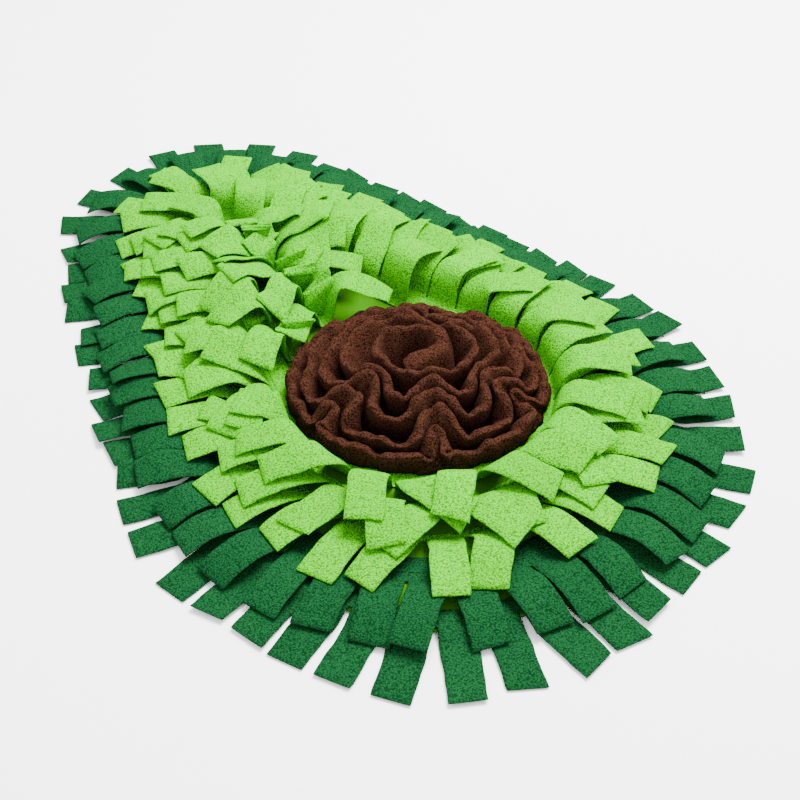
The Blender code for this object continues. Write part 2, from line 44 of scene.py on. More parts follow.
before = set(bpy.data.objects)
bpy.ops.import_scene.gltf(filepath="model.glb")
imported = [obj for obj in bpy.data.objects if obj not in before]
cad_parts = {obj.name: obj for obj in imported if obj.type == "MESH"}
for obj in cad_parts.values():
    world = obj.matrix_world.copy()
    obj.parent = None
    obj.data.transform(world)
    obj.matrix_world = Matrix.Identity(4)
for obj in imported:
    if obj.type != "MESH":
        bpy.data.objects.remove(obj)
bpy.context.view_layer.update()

# Sizes in metres. The mat lies on z = 0, and +Y runs towards its narrow end.
WIDE_AT = np.array([0.0, -0.110])  # middle of the wide end's circle
NARROW_AT = np.array([0.0, 0.216])  # middle of the narrow end's circle
ROSETTE_AT = np.array([0.014, -0.075])
BELLY = 0.004  # how far the flanks bend outwards
BULGE_AT = -2.1  # direction from the wide circle's middle to the edge's bulge, in radians
BULGE_SPREAD = 0.30
BASE_THICKNESS = 0.003
CLEARANCE = 0.0003  # between pieces that lie on each other

SLIT = 0.0017  # the least gap between two strips at their roots
FLEECE = 0.0021
BAND_LOW = BASE_THICKNESS + CLEARANCE  # heights of the bands' undersides and tops
BAND_TOP = BAND_LOW + FLEECE
PILE_GAP = 0.0006  # between a strip and what it lies on
SIDE_GAP = 0.0003  # a laid strip counts this much wider on each side

CENTRE_BAND_Y = (0.038, 0.182)  # where the band along the neck's middle starts and ends

RIBBON_PITCH = 0.0153  # between two turns of the spiral along which the ribbon is sewn down
RIBBON_TURNS = 5.6
RIBBON_START_R = 0.0105
RIBBON_END_AT = 0.55  # direction from the rosette's middle to the ribbon's outer end, in radians
RIBBON_WIDENS = 0.8  # radians over which a turn comes out so far that the outline is round
BACK_AT = 0.97  # the side to which the inner turns are set, in radians
BACK_SHIFT = 0.016
RIBBON_STEP = 0.0062  # along the ribbon's top edge
RIBBON_TAIL = 0.030  # the stretch at each end which tapers
TAIL_HEIGHT = (0.80, 0.45)  # of the inner and outer end, as shares of what it is elsewhere
TAIL_THICKNESS = 0.5  # share of its thickness left at both ends
RIBBON_RIM_HEIGHT = 0.023
RIBBON_TOP_HEIGHT = 0.042
RIBBON_DOME = 2.2  # the power by which the height falls off towards the rim
# The folded ribbon's section: half its thickness, at a share of its height.
RIBBON_SECTION = ((0.0054, 0.0), (0.0034, 0.58), (0.0025, 1.0))
ROSETTE_R = 0.100  # how far the ribbon's top edge may reach
RIDGE = 0.0088  # the least distance between two stretches of the top edge

# How the ribbon's gathered top edge settles between its turns
SPIRAL_STEP = 0.0005
FRONT_AT = -2.18  # the side on which it is gathered most, in radians
GATHER = (1.25, 1.75)  # its length for each length that is sewn down, at the back and in front
GATHER_FROM = 0.020  # it is less gathered nearer than this to the middle
GATHER_OVER = 0.020
GATHER_LEAST = 0.15
KICK = 0.006  # how crooked it starts
KICK_SEED = 2
KICK_ROUNDS = 3  # of smoothing
SETTLE_ROUNDS = 400
STRETCH_ROUNDS = 6
FULL_LENGTH_AT = 0.55  # the share of the rounds in which it grows to its length
FIRST_LENGTH = 0.45  # the share of its growth with which it starts
PULL = 0.45  # how much of a wrong length each round mends
BENDING = ((1, 0.25), (2, 0.20))  # points on each side, and how much they straighten a bend
MOST_ASIDE = 0.0150  # how far it may lean from where it is sewn down
ASIDE_PULL = 0.004
NEIGHBOURS = 1.6  # points nearer along the ribbon than this many ridges don't push apart
SURFACE_PLACES = 24  # along each side of a face, where the rosette is marked on the pile

LOOP_STEP = 0.001  # either side of a place on a loop, for its direction
LOOP_POINTS = 1440

# The height grid that says what lies where
CELL = 0.0006
GRID_LOW = np.array([-0.290, -0.410])
GRID_CELLS = (970, 1370)

Loop = namedtuple("Loop", "wide_r narrow_r shift bulge")
Row = namedtuple("Row", "name dye loop strips width band length rise fall swing seed steps")

# shift: 0 keeps a loop's wide circle on the base panel's, 1 sets it round the rosette.
# length: a strip's, root to tip. rise and fall: its slope in degrees where it leaves the band,
# and at its tip. None: it lies limp. swing: how far in degrees it turns aside.
# steps: where it bends, as shares of its length.
LIMP = (0.0, 0.13, 0.36, 1.0)
LOW = (0.0, 0.16, 0.44, 0.72, 1.0)
ARCH = (0.0, 0.10, 0.38, 0.68, 1.0)
BASE_LOOP = Loop(0.186, 0.090, 0.0, 0.018)
LOWER_LOOP = Loop(0.184, 0.088, 0.0, 0.018)
UPPER_LOOP = Loop(0.166, 0.073, 0.1, 0.0)
OUTER_LOOP = Loop(0.131, 0.038, 0.60, 0.014)
MIDDLE_LOOP = Loop(0.117, 0.028, 0.85, 0.006)
INNER_LOOP = Loop(0.107, 0.018, 1.0, 0.0)
ROWS = (
    Row("fringe_dark_lower", "dark", LOWER_LOOP, 52, 0.0265, 0.009, 0.061, None, None, 5, 11, LIMP),
    Row("fringe_dark_upper", "dark", UPPER_LOOP, 48, 0.0272, 0.016, 0.063, 34, -36, 9, 12, LOW),
    Row("fringe_light_outer", "light", OUTER_LOOP, 39, 0.0270, 0.004, 0.066, 34, -32, 20, 13, ARCH),
    Row("fringe_light_middle", "light", MIDDLE_LOOP, 37, 0.0270, 0.004, 0.067, 48, -30, 26, 14, ARCH),
    Row("fringe_light_inner", "light", INNER_LOOP, 34, 0.0270, 0.004, 0.068, 60, -30, 30, 15, ARCH),
)
NECK_ROW = Row(
    "fringe_light_neck", "light", None, 12, 0.0270, 0.004, 0.068, 64, -28, 32, 27, ARCH
)
CENTRE_ROW = Row(
    "fringe_light_centre", "light", None, 6, 0.0250, 0.004, 0.070, 60, -34, 34, 16, ARCH
)
NECK_WIDE = (np.array([0.010, 0.010]), 0.060)  # the neck row's wide circle: middle and radius
NECK_NARROW = (np.array([0.0, 0.192]), 0.008)
NECK_OPEN = 0.34  # share of the neck row's loop left out on the rosette's side

# How a strip is laid
LENGTH_SPREAD = 0.07  # its length varies by this share
MOST_SWING = 1.8  # its swing is at most this many times its row's
RISE_SPREAD = 10.0  # degrees
FALL_SPREAD = 16.0
MOST_ROLL = 8.0
RISE_DONE = 0.06  # share of its length by which it has reached its first slope
SWING_DONE = 0.5  # share of its length by which it has turned aside
PATH_STEPS = 200
MOST_TILT = 0.008  # how much higher one side of it may be pushed than the other
STIFFNESS = 0.5  # how much of a bend's lift its neighbours get
TRIES = 9  # ways in which it is tried before it is laid in the best of them
STRETCH = 1.04  # its greatest length, as a share of what was cut
SHORTENINGS = 3  # times it is drawn in to keep to that length
ROOT_COST = 2.0  # how much a lift at its first bend counts against a way of laying it
ROOT_FREE = 0.3  # share of its first stretch that isn't held off the pile
ROUNDS = 60  # of lifting
TOUCH = 1e-6  # as good as clear
REST_PITCH = 2.0  # cells between the places where it is held off the pile
COVER_PITCH = 0.7  # cells between the places where it is marked on the pile
OWN_SEEDS = 1000  # a strip's own seed is its row's times this, and its number
COVER_ASIDE = 0.75  # cells by which each place is marked too wide
CORNERS = np.array([(-1.0, -1.0), (-1.0, 1.0), (1.0, -1.0), (1.0, 1.0)])  # of a cell, from its middle

# Sizes of the cloth as it shows, in metres

ALONG = 26  # steps along a strip
ACROSS = 8  # steps across a strip
FINE_CELL = 0.0010
FINE_PLACES = 3  # a strip is held off the pile at this many places for each of its steps
MARKED_PLACES = 4  # and marked on the pile at this many
FINE_GAP = 0.0005
SETTLE_FINE = 34  # rounds in which a strip bends smoothly over what it lies on
SETTLE_BLUR = 1  # and rounds in which it is only smoothed
ROOT_WIDENS = 0.12  # share of a strip's length over which it gets its full width
WIDTH_SPREAD = 0.0012
MOST_SKEW = 0.085  # how far a tip's cut is off square
CUT_WOBBLE = 0.0005
CUT_SPAN = 0.05  # of the wobble
WOBBLE_FROM = 8.0  # the wobble has its full size past the strip's length divided by this
CUP_FROM = 3.0  # and its cup past the length divided by this
CUP = 0.0010  # how much a strip is hollow or crowned across
DROOP = (0.45, 0.95)  # share of the room under a tip that it sinks by, from least to most
LIVELY_DROOP = (0.0, 0.6)  # the same in the rows along the neck
DROOP_FROM = 0.25
TIP_ROWS = 4  # of points, under which that room is measured
LIMP_SINK = 0.28  # share of a limp strip's length over which it comes down from the base
LIMP_WAVE = 0.0022  # the most that a limp strip is waved
LIMP_CURL = 0.0045  # the most that a limp strip's tip curls up
SELDOM = (2, 4, 1.5)  # powers that keep most limp waves, tip curls and arches slight
UNEVEN = 0.00035  # how uneven the cloth is
UNEVEN_SPAN = 0.011
SHOULDER = {  # how much higher a row's strips rise near their roots
    "fringe_light_middle": 0.004, "fringe_light_inner": 0.009, "fringe_light_neck": 0.008,
    "fringe_light_centre": 0.008, "heap": 0.012,
}
SHOULDER_AT = (0.14, 0.22, 0.75)  # where it is reached, left and over, as shares of the length
ARCHES = {  # the most that a row's strips are arched up besides
    "fringe_light_outer": 0.004, "fringe_light_middle": 0.006, "fringe_light_inner": 0.008,
    "fringe_light_neck": 0.017, "fringe_light_centre": 0.016, "heap": 0.012,
}
ARCH_LEAN = 0.85  # under 1, an arch is highest nearer the root
HEAP_ROW = CENTRE_ROW._replace(name="heap", seed=41, length=0.074, rise=56, fall=-38, swing=16)
HEAP_NARROW = 0.010  # how wide its strips are where they are sewn down
HEAP = (  # loose strips sewn over the neck's middle: where, and their headings in degrees
    ((-0.036, 0.022), 74), ((0.003, 0.052), 70), ((0.000, 0.080), 236), ((0.000, 0.092), 62),
    ((0.000, 0.112), 304), ((0.000, 0.128), 118), ((0.000, 0.150), 238), ((0.000, 0.164), 298),
    ((0.000, 0.182), 256),
)
TUCKS = {  # how much further in a band reaches
    "fringe_dark_lower": 0.005, "fringe_dark_upper": 0.006, "fringe_light_inner": 0.014,
}
RIM_BULGE = 0.55  # of half the thickness, past the cut edge
RIM_FLAT = 0.62  # share of the thickness left at the cut edge
RIM_TURN = 0.75  # the least length by which a corner's two outward directions are divided

BACKING = 0.0023  # the rosette's own backing, as thick as the bands' edges under its rim
BACKING_R = 0.088
# Its section: shares of its radius, and of its thickness
BACKING_SECTION = ((0.1, 0.0), (1.0, 0.0), (1.004, 0.5), (1.0, 1.0), (0.1, 1.0))
RIBBON_FINER = 3  # sections for each step of the ribbon
# Half the ribbon's thickness as it shows, at shares of its height
RIBBON_HALF = (
    (0.0, 0.0074), (0.14, 0.0074), (0.30, 0.0071), (0.46, 0.0066), (0.60, 0.0059), (0.72, 0.0051),
    (0.82, 0.0043), (0.90, 0.0036),
)
RIBBON_ROUND = 6  # steps in the rounded fold along its top
TIGHTEST = 0.9  # of a bend's radius, how thick the ribbon may be inside it
PLUMP = 0.18  # share by which its thickness varies
TOP_WAVE = 0.0034  # how much its height varies
OVAL = 0.91  # the rosette's breadth towards BACK_AT, as a share of what was laid out
RIM_SINK = 0.007  # how much lower its outermost turn has settled
SINK_POWER = 4  # by which it has settled less nearer the middle
MOST_WALL = 0.9  # of half the ribbon's thickness, how thick its cloth may be in a bend
HEART_SPAN = 0.085  # the stretch at its inner end which is puffed up
HEART_PLUMP = 1.5
WAVE_SPAN = 0.045
PUCKER = 0.0010  # how far its cloth is puckered
PUCKER_SPAN = 0.012

HEM_POINTS = 360
HEM_ROUND = 0.0012  # how far in the base panel's edge is rounded
UNDERSIDE = 0.0005  # how far the base panel's middle is off the floor
BASE_SECTION = (  # of the base panel: insets from its outline, and heights
    (0.0200, UNDERSIDE), (0.0060, UNDERSIDE), (0.0032, 0.0001), (HEM_ROUND, 0.0),
    (0.0003, HEM_ROUND / 2), (0.0, BASE_THICKNESS / 2), (0.0003, BASE_THICKNESS - HEM_ROUND / 2),
    (HEM_ROUND, BASE_THICKNESS), (0.0060, BASE_THICKNESS), (0.0200, BASE_THICKNESS),
)
SEAM_RISE = 0.0003  # the thread's height over the cloth that it holds down
SEAM_UNDER = 0.0004  # and its height over the floor, on the underside
SEAM_LINE_STEP = 0.004
PATCH_SPAN = 0.030  # over which the dye varies
BROWN_PAINTED_NAP_SHADING = 1.3  # how much stronger the painted highlight and painted shade of the brown fleece's nap are
FINER_FIBRES = 2.2  # the nap's fibres for each of its pebbles
FIBRE_RELIEF = 0.7  # how high they stand beside the pebbles
HAIR_TURNS = (0.4, 1.5, 2.6)  # directions of the felt's hairs, in radians
# Felt's hairs are 0.03 mm thick; they are drawn ten times as coarse, so that they show.
HAIRS = (2600.0, 260.0, 900.0)  # in each metre
TWIST_SPAN = 1 / 1800
PAPER_SPAN = 1 / 400

FLOOR_AT = -0.0003
KEY_AT = (0.75, 0.2, 1.5)
KEY_SIZE = 1.1
LENS = 63.9  # millimetres, as is the sensor's width
SENSOR = 36.0
CLIP_END = 20.0  # past the floor's far edge
CAMERA_AT = (-0.481, -0.766, 0.748)
CAMERA_AIM = (0.0, -0.070, 0.0)

# Small helpers

WAVES = (1.0, 1.9, 3.1)  # how often each of them comes in a span
MOST_WAVE = 1.5  # by which their sum is divided


def linear(code):
    """A colour's linear values, from its sRGB hex code."""
    values = [int(code[at : at + 2], 16) / 255 for at in (1, 3, 5)]
    return tuple(v / 12.92 if v <= 0.04045 else ((v + 0.055) / 1.055) ** 2.4 for v in values)


def add_node(tree, kind, settings=None, links=None):
    """A new node with its settings, and its inputs linked or set."""
    made = tree.nodes.new(kind)
    for name, value in (settings or {}).items():
        setattr(made, name, value)
    for name, value in (links or {}).items():
        if isinstance(value, bpy.types.NodeSocket):
            tree.links.new(value, made.inputs[name])
        else:
            made.inputs[name].default_value = value
    return made


def add_piece(name, mesh):
    piece = bpy.data.objects.new(name, mesh)
    bpy.context.scene.collection.objects.link(piece)
    return piece


def mesh_object(name, points, faces, material):
    mesh = bpy.data.meshes.new(name)
    mesh.from_pydata(np.asarray(points).tolist(), [], [tuple(face) for face in faces])
    mesh.materials.append(material)
    mesh.shade_smooth()
    return add_piece(name, mesh)


def hand_over(piece, slot, *solids):
    """Lets a finished piece ride with the mat and stand for its solids."""
    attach(piece, "root")
    if solids:
        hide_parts(*solids)


def to_the_right(along):
    """Unit vectors in plan to the right of each direction."""
    return np.stack([along[:, 1], -along[:, 0]], 1) / np.linalg.norm(along, axis=1)[:, None]


def smooth_step(share):
    share = np.clip(share, 0.0, 1.0)
    return share * share * (3.0 - 2.0 * share)


def between(steps, places):
    """Weights of points at the places that lie evenly between them."""
    at = np.linspace(0.0, steps, steps * places + 1)
    near = np.minimum(at.astype(int), steps - 1)
    weights = np.zeros((len(at), steps + 1))
    weights[np.arange(len(at)), near] = 1.0 - (at - near)
    weights[np.arange(len(at)), near + 1] = at - near
    return weights


def slow_wave(draw, at, span, size):
    """A smooth uneven wave along something."""
    total = np.zeros_like(at)
    for often in WAVES:
        phase = draw.uniform(0.0, 2.0 * math.pi)
        total += np.sin(2.0 * math.pi * often * at / span + phase) / often
    return total * size / MOST_WAVE


def unevenness(points, span):
    """Smooth noise at each point, from about -1 to 1."""
    return np.array([noise.noise(Vector(point) / span) for point in np.asarray(points)])


# Outlines


def pear_loop(wide, wide_r, narrow, narrow_r, belly, bulge):
    """Points of a pear outline and its length along them, counter-clockwise from the wide end."""
    reach = np.linalg.norm(narrow - wide)
    lean = math.asin((wide_r - narrow_r) / reach)
    quarter = math.pi / 2
    share = np.linspace(0.0, 1.0, LOOP_POINTS // 4)
    facing = np.array([math.cos(lean), math.sin(lean)])
    turn = -quarter + share * (quarter + lean)
    wide_arc = wide_r * np.stack([np.cos(turn), np.sin(turn)], 1)
    along = share[1:-1, None]
    flank = wide_arc[-1] + along * ([0.0, reach] + narrow_r * facing - wide_arc[-1])
    flank += belly * np.sin(math.pi * along) ** 2 * facing
    turn = lean + share * (quarter - lean)
    narrow_arc = [0.0, reach] + narrow_r * np.stack([np.cos(turn), np.sin(turn)], 1)
    right = np.concatenate([wide_arc, flank, narrow_arc])
    points = np.concatenate([right, right[-2::-1] * [-1.0, 1.0]])
    axis = (narrow - wide) / reach
    points = points @ np.array([[axis[1], -axis[0]], [axis[0], axis[1]]])
    away = np.arctan2(points[:, 1], points[:, 0]) - BULGE_AT
    facing = points / np.linalg.norm(points, axis=1)[:, None]
    points += bulge * np.exp(-0.5 * (away / BULGE_SPREAD) ** 2)[:, None] * facing
    length = np.concatenate([[0.0], np.cumsum(np.linalg.norm(np.diff(points, axis=0), axis=1))])
    return wide + points, length


def row_loop(loop):
    wide = WIDE_AT + loop.shift * (ROSETTE_AT - WIDE_AT)
    belly = BELLY * (1.0 - loop.shift)
    return pear_loop(wide, loop.wide_r, NARROW_AT, loop.narrow_r, belly, loop.bulge)


def neck_loop():
    return pear_loop(*NECK_WIDE, *NECK_NARROW, 0.0, 0.0)


def loop_at(loop, distance):
    """The point at a distance along a loop, and the unit vector out of the loop there."""
    points, length = loop
    at = [(distance + step) % length[-1] for step in (0.0, LOOP_STEP, -LOOP_STEP)]
    x = np.interp(at, length, points[:, 0])
    y = np.interp(at, length, points[:, 1])
    out = np.array([y[1] - y[2], x[2] - x[1]])
    return np.array([x[0], y[0]]), out / np.linalg.norm(out)


def outward(near, far):
    """Unit vector that points out of a counter-clockwise loop between two of its points."""
    chord = (far - near) / np.linalg.norm(far - near)
    return np.array([chord[1], -chord[0]])


# The pile


class Pile:
    """The lowest height at which cloth may still be laid, on a grid over the mat."""

    cell_size = CELL
    cells = GRID_CELLS
    asides = CORNERS * CELL * COVER_ASIDE  # from each place to those that are marked for it
    widened = (0, 1)  # axes along which a loop's inside is marked a cell wider

    def __init__(self):
        self.free = np.zeros(self.cells)

    def cell(self, plan):
        index = ((plan - GRID_LOW) / self.cell_size).astype(int)
        return index[:, 0], index[:, 1]

    def height(self, plan):
        return self.free[self.cell(plan)]

    def cover(self, plan, top):
        """Raises the cells at and beside each place."""
        for aside in self.asides:
            np.maximum.at(self.free, self.cell(plan + aside), top)

    def cover_inside(self, loop, top):
        """Raises all that lies within a closed loop."""
        x = GRID_LOW[0] + (np.arange(self.cells[0]) + 0.5) * self.cell_size
        y = GRID_LOW[1] + (np.arange(self.cells[1]) + 0.5) * self.cell_size
        inside = np.zeros(self.cells, bool)
        for start, end in zip(loop[0][:-1], loop[0][1:]):
            rows = np.nonzero((y >= min(start[1], end[1])) & (y < max(start[1], end[1])))[0]
            if len(rows):
                edge_x = start[0] + (y[rows] - start[1]) * (end[0] - start[0]) / (end[1] - start[1])
                inside[:, rows] ^= x[:, None] < edge_x
        for axis in self.widened:
            inside = inside | np.roll(inside, 1, axis) | np.roll(inside, -1, axis)
        self.free[inside] = np.maximum(self.free[inside], top)


class FinePile(Pile):
    """The same height map for the cloth as it shows."""

    cell_size = FINE_CELL
    cells = tuple(int(n * CELL / FINE_CELL) + 1 for n in GRID_CELLS)
    asides = np.concatenate([[[0.0, 0.0]], CORNERS * 0.5 * FINE_CELL])
    widened = ()


def patch_weights(along, across):
    """How much a patch's corners count at places on it: near left and right, far left and right.

    The patch is two triangles that meet on the diagonal from near left to far right.
    """
    none = np.zeros_like(along)
    right = np.stack([1 - across, across - along, none, along], 1)
    left = np.stack([1 - along, none, along - across, across], 1)
    return np.where((across >= along)[:, None], right, left)


def patch_places(corners, spread, first, pitch):
    """Shares along and across a patch, evenly, and past its sides by spread."""
    reach = np.linalg.norm(corners[1] - corners[0], axis=1).max()
    width = np.linalg.norm(corners[1, 1] - corners[1, 0])
    rows = max(3, int(reach / pitch) + 2)
    columns = int(width / pitch) + 2
    over = spread / width
    along, across = np.meshgrid(
        np.linspace(first, 1.0, rows), np.linspace(-over, 1.0 + over, columns), indexing="ij"
    )
    return along.ravel(), across.ravel()


def cover_strip(pile, rings):
    for near, far in zip(rings[:-1], rings[1:]):
        corners = np.array([[near[3], near[2]], [far[3], far[2]]])
        weights = patch_weights(*patch_places(corners[:, :, :2], SIDE_GAP, 0.0, CELL * COVER_PITCH))
        places = weights @ corners.reshape(4, 3)
        pile.cover(places[:, :2], places[:, 2] + PILE_GAP)


def rest_on(pile, corners, wish, stiffness):
    """Lifts a strip's corners from their wished heights until it is clear of the pile."""
    bends = len(corners)
    blocks = []
    for bend in range(bends - 1):
        first = ROOT_FREE if bend == 0 else 0.0
        places = patch_places(corners[bend : bend + 2], 0.0, first, CELL * REST_PITCH)
        weights = np.zeros((len(places[0]), bends * 2))
        weights[:, 2 * bend : 2 * bend + 4] = patch_weights(*places)
        blocks.append(weights)
    weights = np.concatenate(blocks)
    needed = pile.height(weights @ corners.reshape(-1, 2))
    movable = weights.copy()
    movable[:, :2] = 0.0
    power = (movable**2).sum(1)
    lift = np.zeros((bends, 2))
    for _ in range(ROUNDS):
        short = needed - weights @ (wish + lift).ravel()
        if short.max() < TOUCH:
            break
        push = (np.clip(short, 0.0, None) / power)[:, None] * movable
        lift += push.max(0).reshape(bends, 2)
        for bend in range(1, bends - 1):
            lift[bend] = np.maximum(lift[bend], stiffness * lift[bend + 1])
        for bend in range(2, bends):
            lift[bend] = np.maximum(lift[bend], stiffness * lift[bend - 1])
        lift[1:] = np.maximum(lift[1:], lift[1:, ::-1] - MOST_TILT)
    return lift


def strip_rings(under):
    """The four corners at each bend of a strip, from its underside's two sides."""
    along = np.gradient(under.mean(axis=1), axis=0)
    normal = np.cross(along, under[:, 1] - under[:, 0])
    normal /= np.linalg.norm(normal, axis=1)[:, None]
    normal[0] = (0.0, 0.0, 1.0)
    top = under + FLEECE * normal[:, None, :]
    return np.stack([under[:, 0], under[:, 1], top[:, 1], top[:, 0]], axis=1)


# Bands and their strips' roots


def loop_roots(loop, row, opening=0.0):
    """Each strip's two root points on a loop, evenly, with a share of it left out at its start."""
    start = loop[1][-1] * opening / 2
    pitch = loop[1][-1] * (1.0 - opening) / row.strips
    half = min(row.width, pitch - SLIT) / 2
    middles = [start + (number + 0.5) * pitch for number in range(row.strips)]
    return [[loop_at(loop, middle + side * half) for side in (-1, 1)] for middle in middles]


def centre_roots(row):
    """Root points on both sides of the straight band, up its right side and down its left."""
    start, end = CENTRE_BAND_Y
    pitch = (end - start) / row.strips
    half = min(row.width, pitch - SLIT) / 2
    middles = [start + (number + 0.5) * pitch for number in range(row.strips)]
    roots = []
    for side in (1.0, -1.0):
        out = np.array([side, 0.0])
        for y in middles:
            ends = (y - side * half, y + side * half)
            roots.append([(np.array([side * row.band, end]), out) for end in ends])
    return roots


def cover_band(pile, ends, row):
    """Marks a loop's band on the pile, from the points and outward directions along it."""
    top = BAND_TOP + PILE_GAP
    points = np.array([point for point, _ in ends])
    out = np.array([direction for _, direction in ends])
    for depth in np.arange(0.0, row.band + CELL / 2, CELL / 2):
        pile.cover(points - out * depth, np.full(len(points), top))


# How the strips are laid


Lay = namedtuple("Lay", "cost under reach swing slopes roll")


def strip_course(row, near, far, reach, swing, slopes):
    """A strip's middle line in plan, its heading, and its rise, at even steps of its length."""
    share = np.linspace(0.0, 1.0, PATH_STEPS + 1)
    slope = np.zeros(PATH_STEPS + 1)
    if row.rise is not None:
        rise = row.rise + slopes[0] * RISE_SPREAD
        fall = row.fall + slopes[1] * FALL_SPREAD
        slope = np.radians(rise + (fall - rise) * share) * np.clip(share / RISE_DONE, 0.0, 1.0)
    facing = outward(near, far)
    turn = np.clip(share / SWING_DONE, 0.0, 1.0)
    heading = math.atan2(facing[1], facing[0]) + swing * turn * turn * (3 - 2 * turn)
    out = np.cos(slope) * reach / PATH_STEPS
    path = np.cumsum(np.stack([np.cos(heading) * out, np.sin(heading) * out], 1), axis=0)
    up = np.cumsum(np.sin(slope)) * reach / PATH_STEPS
    return (near + far) / 2 + path - path[0], heading, up


def strip_wish(row, near, far, reach, swing, slopes, roll):
    """Where a strip's sides run in plan, and how high they would, if nothing lay below."""
    path, heading, up = strip_course(row, near, far, reach, swing, slopes)
    at = (np.array(row.steps) * PATH_STEPS).astype(int)
    side = np.stack([np.sin(heading[at]), -np.cos(heading[at])], 1) * row.width / 2
    corners = np.stack([path[at] + side, path[at] - side], 1)
    corners[0] = (near, far)
    wish = np.zeros((len(at), 2))
    if row.rise is not None:
        tilt = math.tan(math.radians(MOST_ROLL * roll)) * row.width / 2 * np.array(row.steps)
        wish = (up[at] + BAND_LOW)[:, None] + tilt[:, None] * [1.0, -1.0]
    wish[0] = BAND_LOW
    return corners, np.maximum(wish, 0.0)


def try_strip(pile, row, near, far, draw):
    """One way in which a strip may lie, and what it costs."""
    length = row.length * draw.uniform(1.0 - LENGTH_SPREAD, 1.0 + LENGTH_SPREAD)
    swing = math.radians(max(-MOST_SWING, min(MOST_SWING, draw.gauss(0.0, 1.0))) * row.swing)
    slopes = draw.uniform(-1.0, 1.0), draw.uniform(-1.0, 1.0)
    roll = draw.uniform(-1.0, 1.0)
    following = length
    for _ in range(SHORTENINGS):
        reach = following
        corners, wish = strip_wish(row, near, far, reach, swing, slopes, roll)
        lift = rest_on(pile, corners, wish, 0.0 if row.rise is None else STIFFNESS)
        under = np.concatenate([corners, (wish + lift)[:, :, None]], 2)
        spine = under.mean(axis=1)
        laid = np.linalg.norm(np.diff(spine, axis=0), axis=1).sum()
        if laid <= length * STRETCH:
            break
        following = reach * length * STRETCH / laid
    strain = max(0.0, laid / length - STRETCH)
    cost = lift.max() + ROOT_COST * lift[1].max() + strain * length
    return Lay(cost, under, reach, swing, slopes, roll)


def choose_lay(pile, row, near, far, draw):
    tries = [try_strip(pile, row, near, far, draw) for _ in range(TRIES)]
    best = min(tries, key=lambda one: one.cost)
    cover_strip(pile, strip_rings(best.under))
    return best


# The strips as cloth

FINE_ALONG = between(ALONG, FINE_PLACES)
FINE_ACROSS = between(ACROSS, FINE_PLACES)
MARK_ALONG = between(ALONG, MARKED_PLACES)
MARK_ACROSS = between(ACROSS, MARKED_PLACES)
SIDEWAYS = np.linspace(-0.5, 0.5, ACROSS + 1)


def filled_in(grid, along, across):
    """A grid's values at the places between its points."""
    return np.einsum("ai,ijk,bj->abk", along, grid, across)


def heights_below(pile, plan):
    """The highest thing under and right beside each of a strip's points."""
    places = filled_in(plan, FINE_ALONG, FINE_ACROSS)
    found = pile.height(places.reshape(-1, 2)).reshape(places.shape[:2])
    reach = FINE_PLACES - 1
    padded = np.pad(found, reach, mode="edge")
    highest = np.zeros((ALONG + 1, ACROSS + 1))
    for i in range(2 * reach + 1):
        for j in range(2 * reach + 1):
            part = padded[i:, j:][: found.shape[0] : FINE_PLACES, : found.shape[1] : FINE_PLACES]
            highest = np.maximum(highest, part)
    return highest


def lift_clear(below, under):
    """Smoothly bent lifts that bring a strip's underside above what is below it."""
    least = below - under
    least[0] = 0.0
    least[1] *= 0.5
    lift = np.clip(least, 0.0, None)
    power = (SIDEWAYS**2).sum()
    for number in range(SETTLE_FINE + SETTLE_BLUR):
        eased = lift.copy()
        eased[1:-1] = (lift[:-2] + 2.0 * lift[1:-1] + lift[2:]) / 4.0
        eased[-1] = (lift[-2] + lift[-1]) / 2.0
        straight = eased.mean(1)[:, None] + ((eased @ SIDEWAYS) / power)[:, None] * SIDEWAYS
        eased += (straight - eased) / 2.0
        lift = np.maximum(least, eased) if number < SETTLE_FINE else eased
        lift[0] = 0.0
    return lift


